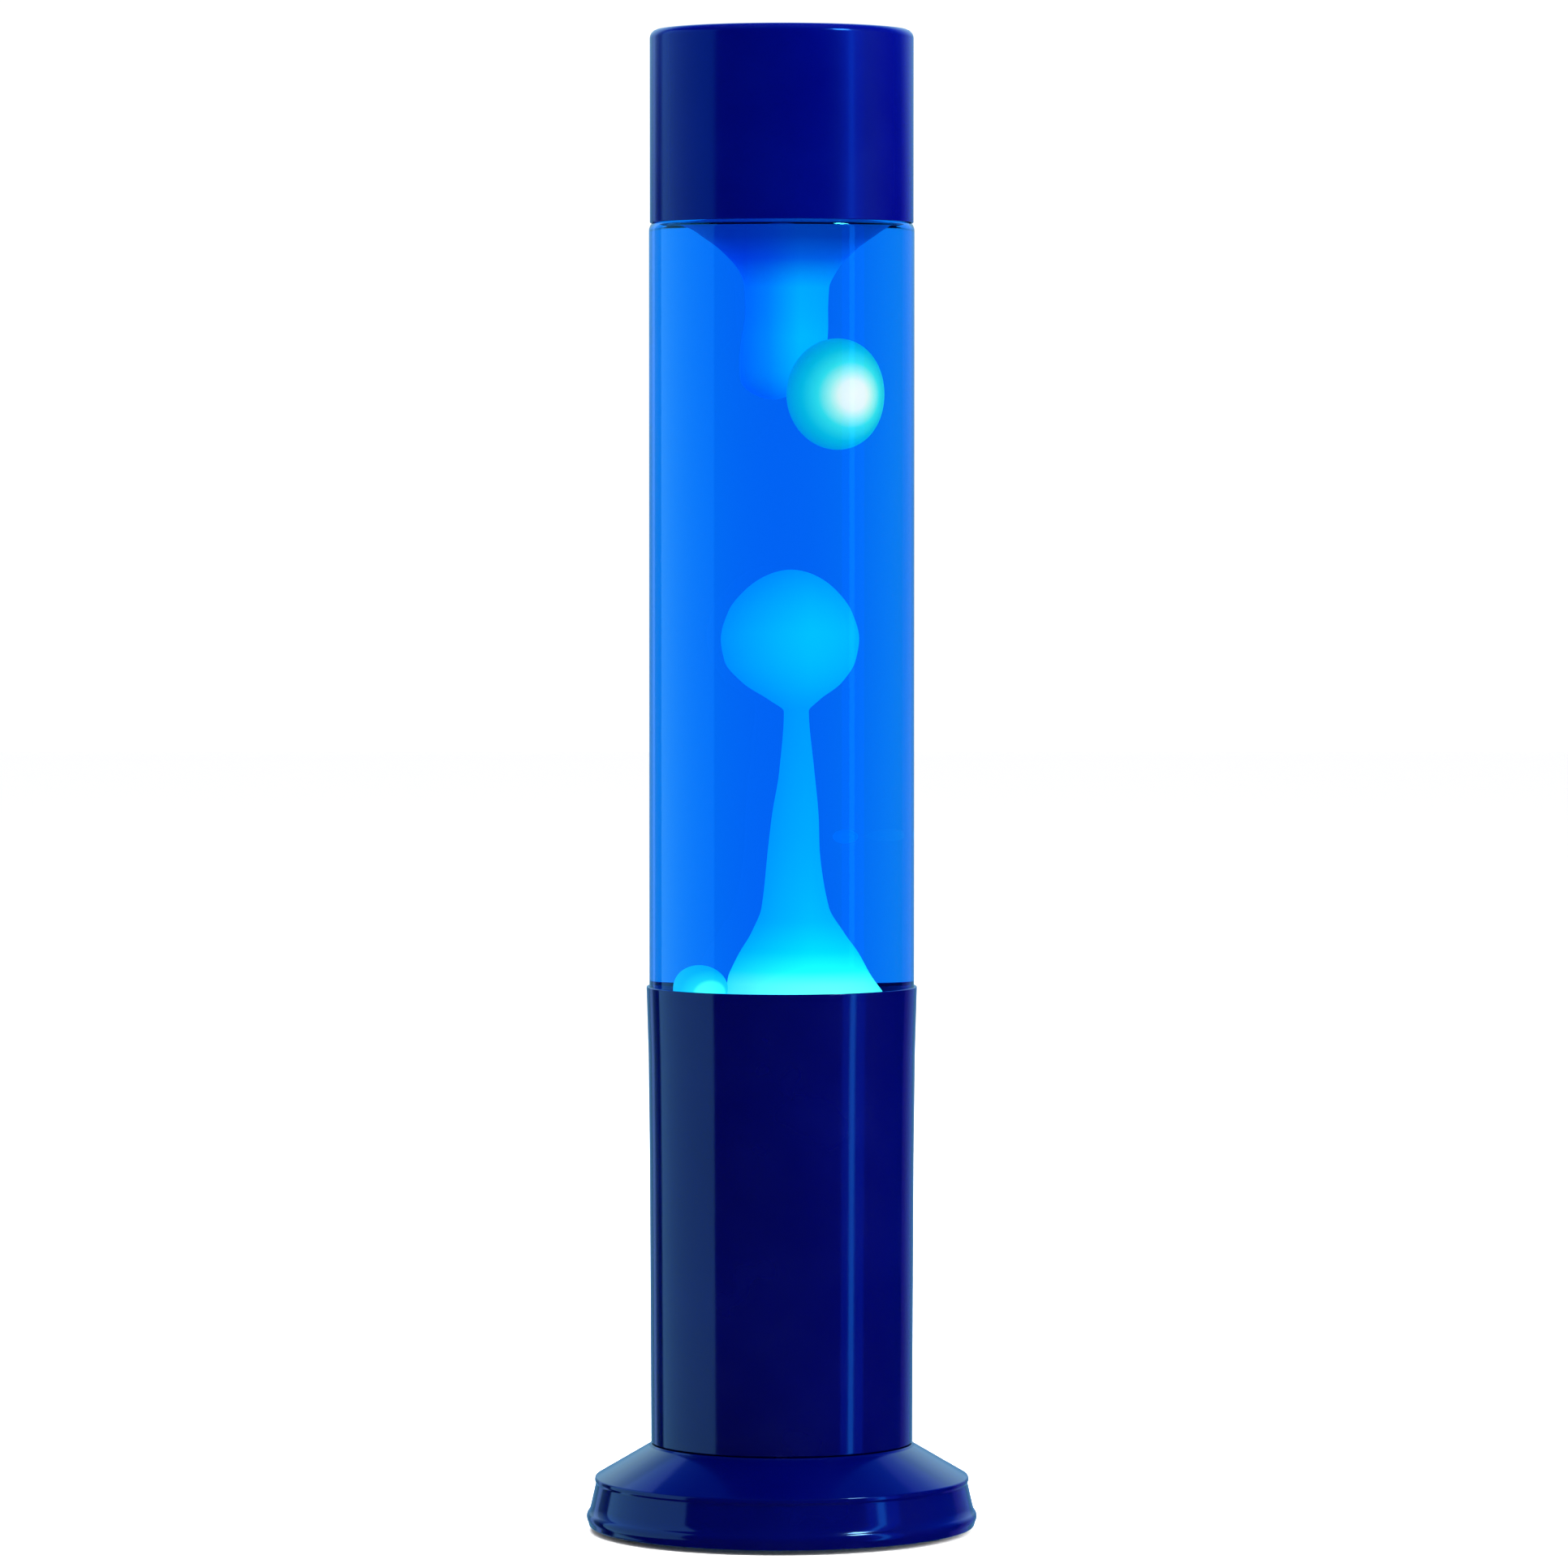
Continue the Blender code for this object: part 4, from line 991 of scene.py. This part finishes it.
def make_base_plate():
    """Pressed steel cover: an eased edge, two stiffening rings, vents and screw holes."""
    radius, low, high = extent("base_plate")
    rib = 0.5
    under, over = low + rib, high + rib * 0.6
    outline = [(0, low), (18, low, 1), (18.6, under, 1), (20.4, under, 1), (21, low, 1), (34.6, low, 1)]
    outline += [(35.2, under, 1), (36.8, under, 1), (37.4, low, 1), (radius - 0.2, low, 0.4)]
    outline += [(radius, high, 0.3), (radius - 1, high, 0.2), (37, high, 1), (36.6, over, 1)]
    outline += [(35.4, over, 1), (35, high, 1), (20.6, high, 1), (20.2, over, 1), (18.8, over, 1)]
    plate = turned("cover_plate", outline + [(18.4, high, 1), (0, high)], "steel", "base", "base_plate")
    vent_turns = [360 / VENTS * (vent + 0.5) for vent in range(VENTS)]
    for turns, circle, hole in ((vent_turns, VENT_CIRCLE, VENT_RADIUS), (SCREW_TURNS, PLATE_CIRCLE, 1.5),
                                (RUBBER_TURNS, PLATE_CIRCLE, 2.4)):
        cut(plate, around(turns, circle), hole, low - 2, high + 2, PLATE_STEPS)


def make_base_fixings():
    """Pillars and screws that hold the base plate, and the rubber feet pressed into it."""
    for number in (1, 2, 3):
        low, high = heights_of(f"base_pillar_{number}")
        pillar = up(low, (1.4, 0, 0.1), (4, 0, 0.4), (3.8, 1.5, 0.3))
        pillar += up(high, (3.8, -1, 0.3), (4, 0, 0.2), (1.4, 0, 0.1))
        fixing(f"pillar_{number}", pillar, "steel", f"base_pillar_{number}")
        node = f"base_screw_{number}"
        low, high = heights_of(node)
        thread_low, thread_high = low + 1.8, high - 1.2
        screw = up(low, (0, 0), (1.6, 0.05, 0.6), (2.9, 0.75, 0.3), (3, 1.3, 0.1))
        screw += [(1.1, low + 1.35)] + ladder(1.05, thread_low, thread_high, 0.1) + [(0, high)]
        bend = threaded_outside(0.8, 0.16, thread_low, thread_high, 1)
        piece = fixing(f"plate_screw_{number}", screw, "steel", node, bend)
        cross_slots(piece, node, 10 + 33 * number, 0.6, 3, low - 1, low + 0.7)
    for number in (1, 2, 3):
        low, high = heights_of(f"rubber_foot_{number}")
        foot = up(low, (0, 0.5), (3, 0.5, 0.2), (3.2, 0, 0.2), (5.3, 0, 0.5), (6, 0.8, 0.4), (5.6, 2.6, 0.3))
        foot += [(2.1, low + 2.7, 0.1)]
        foot += up(high, (2.1, -1.6, 0.1), (3, -1.55, 0.1), (1.8, -0.1, 0.2), (0, 0))
        fixing(f"rubber_pad_{number}", foot, "rubber", f"rubber_foot_{number}")


def make_cable_grommet():
    """Rubber ring in the inlet at the back. It is turned about the hole's axis, then laid along Y."""
    low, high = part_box("cable_grommet")
    inside, outside = low.y / MM, high.y / MM
    bore, waist, collar = 3.05, 3.6, high.x / MM
    outline = up(inside, (bore, 0, 0.3), (collar - 0.3, 0, 0.3), (collar - 0.3, 0.8, 0.2), (waist, 0.85, 0.1))
    outline += up(outside, (waist, -0.75, 0.1), (collar, -0.7, 0.2), (collar - 0.2, 0, 0.4))
    outline += up(outside, (bore + 0.4, 0, 0.3), (bore, -0.5, 0.3))
    vertices, faces = spin(rounded(outline), 64)
    mesh_piece("grommet_ring", lay_in_inlet(vertices), faces, "rubber", "base", "cable_grommet")


def lay_in_inlet(vertices):
    """Turned points laid along Y, round the middle of the inlet."""
    middle = middle_of("cable_grommet").z
    return [(x, height, middle + y) for x, y, height in vertices]


def cut_inlet(foot):
    """The cable inlet through the back of the foot's skirt, with a flat seat round it."""
    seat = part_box("cable_grommet")[1].y / MM - 1.0
    hole, seat_radius = 3.9, 5.2
    outline = [(0, seat - 4), (hole, seat - 4), (hole, seat), (seat_radius, seat), (seat_radius, seat + 4)]
    vertices, faces = spin(outline + [(0, seat + 4)], SMALL_STEPS)
    cutter = bmesh.new()
    corners = [cutter.verts.new(Vector(point) * MM) for point in lay_in_inlet(vertices)]
    for face in faces:
        cutter.faces.new([corners[corner] for corner in face])
    bmesh.ops.recalc_face_normals(cutter, faces=cutter.faces)
    subtract(foot, cutter)


# ---- every look but the wax's

def add_glow(tree, shader, scale, deep, light, strength):
    """Uneven emission."""
    glow = add_ramp(tree, add_noise(tree, scale), [(0.3, deep), (0.7, light)])
    feed(tree, shader, Emission_Color=glow, Emission_Strength=strength)


def make_lit_filament():
    material, tree, shader = principled("tungsten_lit", (0.3, 0.29, 0.28), 0.4, Metallic=1)
    add_glow(tree, shader, 400, (1, 0.55, 0.2), (1, 0.75, 0.4), 8)
    return material


def make_frosted_front():
    """The bulb's front: frosted inside, and faintly lit from behind."""
    material, tree, shader = principled("frosted_front", (0.8, 0.79, 0.77), 0.35, IOR=1.45,
                                        Transmission_Weight=0.3)
    add_glow(tree, shader, 60, (1, 0.8, 0.55), (1, 0.86, 0.66), 0.22)
    add_bump(tree, shader, add_noise(tree, 1500, 3), 0.1, 0.0001)
    return material


def make_looks():
    """Fills LOOKS. A look's name is its material slot, with one more word where looks share a slot."""
    LOOKS["blue_paint"] = make_paint(
        "blue_enamel", (0, 0.0002, 0.031), (0, 0.0004, 0.039), 0.08, 0.11, (0.75, 0.9, 1))
    LOOKS["blue_paint cap"] = make_paint(
        "cap_enamel", (0, 0.0002, 0.061), (0, 0.0004, 0.071), 0.15, 0.18, (0.05, 0.35, 0.9))
    LOOKS["glass"] = make_glass("bottle_glass", GLASS_IOR, (0.1, 0.9, 1))
    LOOKS["glass wetted"] = make_glass("wetted_glass", GLASS_IOR / LIQUID_IOR, (0, 0, 0))
    LOOKS["blue_liquid"] = make_liquid_material()
    LOOKS["tungsten"] = make_lit_filament()
    LOOKS["bulb_glass"] = make_frosted_front()
    for look, name, colour, roughness in (
            ("steel", "zinc_steel", (0.62, 0.63, 0.64), 0.32),
            ("brass", "turned_brass", (0.78, 0.58, 0.28), 0.25),
            ("nickel", "nickel_plate", (0.72, 0.7, 0.66), 0.18),
            ("reflector_silver", "reflector_silver", (0.86, 0.85, 0.82), 0.12)):
        LOOKS[look] = make_metal(name, colour, roughness)
    for look, name, colour, roughness in (
            ("holder_plastic", "holder_thermoset", (0.84, 0.82, 0.76), 0.4),
            ("steatite", "steatite", (0.88, 0.86, 0.8), 0.55),
            ("black_glass", "black_vitrite", (0.015, 0.015, 0.02), 0.15),
            ("rubber", "black_rubber", (0.025, 0.025, 0.027), 0.65),
            ("liner_plastic", "sealing_compound", (0.8, 0.82, 0.79), 0.5)):
        LOOKS[look] = make_moulded(name, colour, roughness)
    make_column_looks()
    make_blob_looks()


# ---- stage, light and camera

WHITE_ROOM = 1.07
BOX_DISTANCE = 1.0
BOX_HEIGHT = 1.6
BOX_MIDDLE = 0.2


def make_floor():
    """A pale paper floor just under the feet. Neither the lamp's gloss nor its glass shows it."""
    half, drop = 6, 0.0003
    mesh = bpy.data.meshes.new("floor")
    corners = [(-half, -half, 0), (half, -half, 0), (half, half, 0), (-half, half, 0)]
    mesh.from_pydata(corners, [], [(0, 1, 2, 3)])
    floor = add_object("floor", mesh)
    floor.location.z = -drop
    floor.visible_glossy = False
    floor.visible_transmission = False
    material, tree, shader = principled("floor_paper", (0.95, 0.95, 0.95), 0.9, Specular_IOR_Level=0.1)
    add_bump(tree, shader, add_noise(tree, 300, 3), 0.05, 0.0002)
    mesh.materials.append(material)


def make_world():
    """Even white surroundings. Gloss sees a blue sky behind the lamp and a dark room in front of it."""
    world = bpy.data.worlds.new("studio")
    bpy.context.scene.world = world
    world.use_nodes = True
    tree = world.node_tree
    tree.nodes.clear()
    white = add_node(tree, "Background", Strength=WHITE_ROOM, Color=(1, 1, 1, 1))["Background"]
    seen = add_node(tree, "Background", Color=sky_colour(tree))["Background"]
    ray = add_node(tree, "LightPath")
    reflected = add_math(tree, "Math", "GREATER_THAN", ray["Is Glossy Ray"], ray["Is Transmission Ray"])
    mix = tree.nodes.new("ShaderNodeMixShader")
    for socket, value in zip(mix.inputs, (reflected["Value"], white, seen)):
        connect(tree, socket, value)
    add_node(tree, "OutputWorld", Surface=mix.outputs["Shader"])


def sky_colour(tree):
    """A pale panel straight behind the lamp, and a sky that is bluer and darker towards the camera's side."""
    towards = add_node(tree, "SeparateXYZ", Vector=add_node(tree, "TexCoord")["Generated"])
    behind = add_ramp(tree, towards["Y"], [
        (0, (0, 0, 0)), (0.7, (0, 0.01, 0.02)), (0.97, (0.12, 0.35, 0.6))])
    above = add_ramp(tree, towards["Z"], [
        (0, (0, 0, 0)), (0.15, (0.5, 0.5, 0.5)), (0.4, (1, 1, 1))])
    ahead = add_ramp(tree, towards["Y"], [
        (0, (0, 0.02, 0.2)), (0.45, (0, 0.05, 0.6)), (0.6, (0.02, 0.13, 1)),
        (0.7, (0.12, 0.38, 1)), (0.8, (0.33, 0.62, 1)), (0.92, (0.55, 0.85, 1))])
    return mix_colours(tree, behind, mix_colours(tree, above, ahead, "MULTIPLY"), "ADD")


def make_softbox(name, turn, width, radiance, colour, distance=BOX_DISTANCE):
    """An upright light that only gloss sees. Turn 0 is the camera's side, and it grows to the right."""
    stand(make_area(name, width, BOX_HEIGHT, radiance, colour, True), turn, distance, BOX_MIDDLE)


def stand(lamp, turn, distance, middle):
    """Places an upright light so that it faces the lamp."""
    angle = radians(turn)
    lamp.location = (distance * sin(angle), -distance * cos(angle), middle)
    lamp.rotation_euler = (pi / 2, 0, angle)


def make_area(name, width, height, radiance, colour, gloss):
    """A light that only gloss sees, or one that only lights plain surfaces."""
    light = bpy.data.lights.new(name, "AREA")
    light.shape = "RECTANGLE"
    light.size, light.size_y = width, height
    light.energy = radiance * pi * width * height
    light.color = colour
    lamp = add_object(name, light)
    lamp.visible_camera = False
    lamp.visible_transmission = False
    lamp.visible_glossy = gloss
    lamp.visible_diffuse = not gloss
    return lamp


def make_lights():
    """Strips that show in the enamel's gloss, two white lights for plain surfaces, and a lamp for sparks."""
    make_softbox("left_softbox", -94, 1.35, 1.1, (0.22, 0.6, 1))
    make_softbox("right_strip", 62.5, 0.09, 4.2, (0.02, 0.26, 0.9))
    make_softbox("back_left_strip", -147, 0.14, 0.7, (0.22, 0.35, 0.95))
    make_softbox("back_right_strip", 141, 0.44, 0.4, (0.15, 0.1, 1))
    make_softbox("right_glow", 64, 0.42, 1.6, (0, 0.04, 1), distance=1.05)
    stand(make_area("right_fill", 0.9, 1.2, 9.5, (1, 1, 1), False), 76, BOX_DISTANCE, 0.45)
    make_area("top_fill", 1.3, 1.3, 9, (1, 1, 1), False).location.z = 1.3
    make_catchlight()


def make_catchlight():
    """A small bright lamp high on the right, which shows only as sparks on rounded edges."""
    lamp = make_area("catchlight", 0.2, 0.2, 45, (0.35, 0.7, 1), True)
    turn, tilt = radians(57), radians(35)
    aim = Vector((sin(turn) * cos(tilt), -cos(turn) * cos(tilt), sin(tilt)))
    lamp.location = aim + Vector((0, 0, 0.3))
    lamp.rotation_euler = aim.to_track_quat("Z", "Y").to_euler()


def make_camera():
    """The photograph's view: about two metres away, from a little above the lamp's middle."""
    camera = add_object("camera", bpy.data.cameras.new("camera"))
    camera.data.sensor_width = 36.0
    camera.data.lens = 177.0
    sideways = 0.0006
    camera.location = (sideways, -2.03, 0.275)
    target = Vector((sideways, 0, 0.197))
    camera.rotation_euler = (target - camera.location).to_track_quat("-Z", "Y").to_euler()
    camera.data.clip_start, camera.data.clip_end = 0.05, 50.0
    bpy.context.scene.camera = camera


def main():
    bpy.context.scene.view_settings.view_transform = "Standard"
    for make in (make_looks, make_top_cap, make_base_tube, make_foot_shell, make_glass_bottle, make_liquid,
                 make_wax, make_crown_closure, make_heat_coil, make_bottle_seat, make_bulb, make_holder,
                 make_bracket, make_fixings, make_base_plate, make_base_fixings, make_cable_grommet,
                 make_floor, make_world, make_lights, make_camera):
        make()


main()
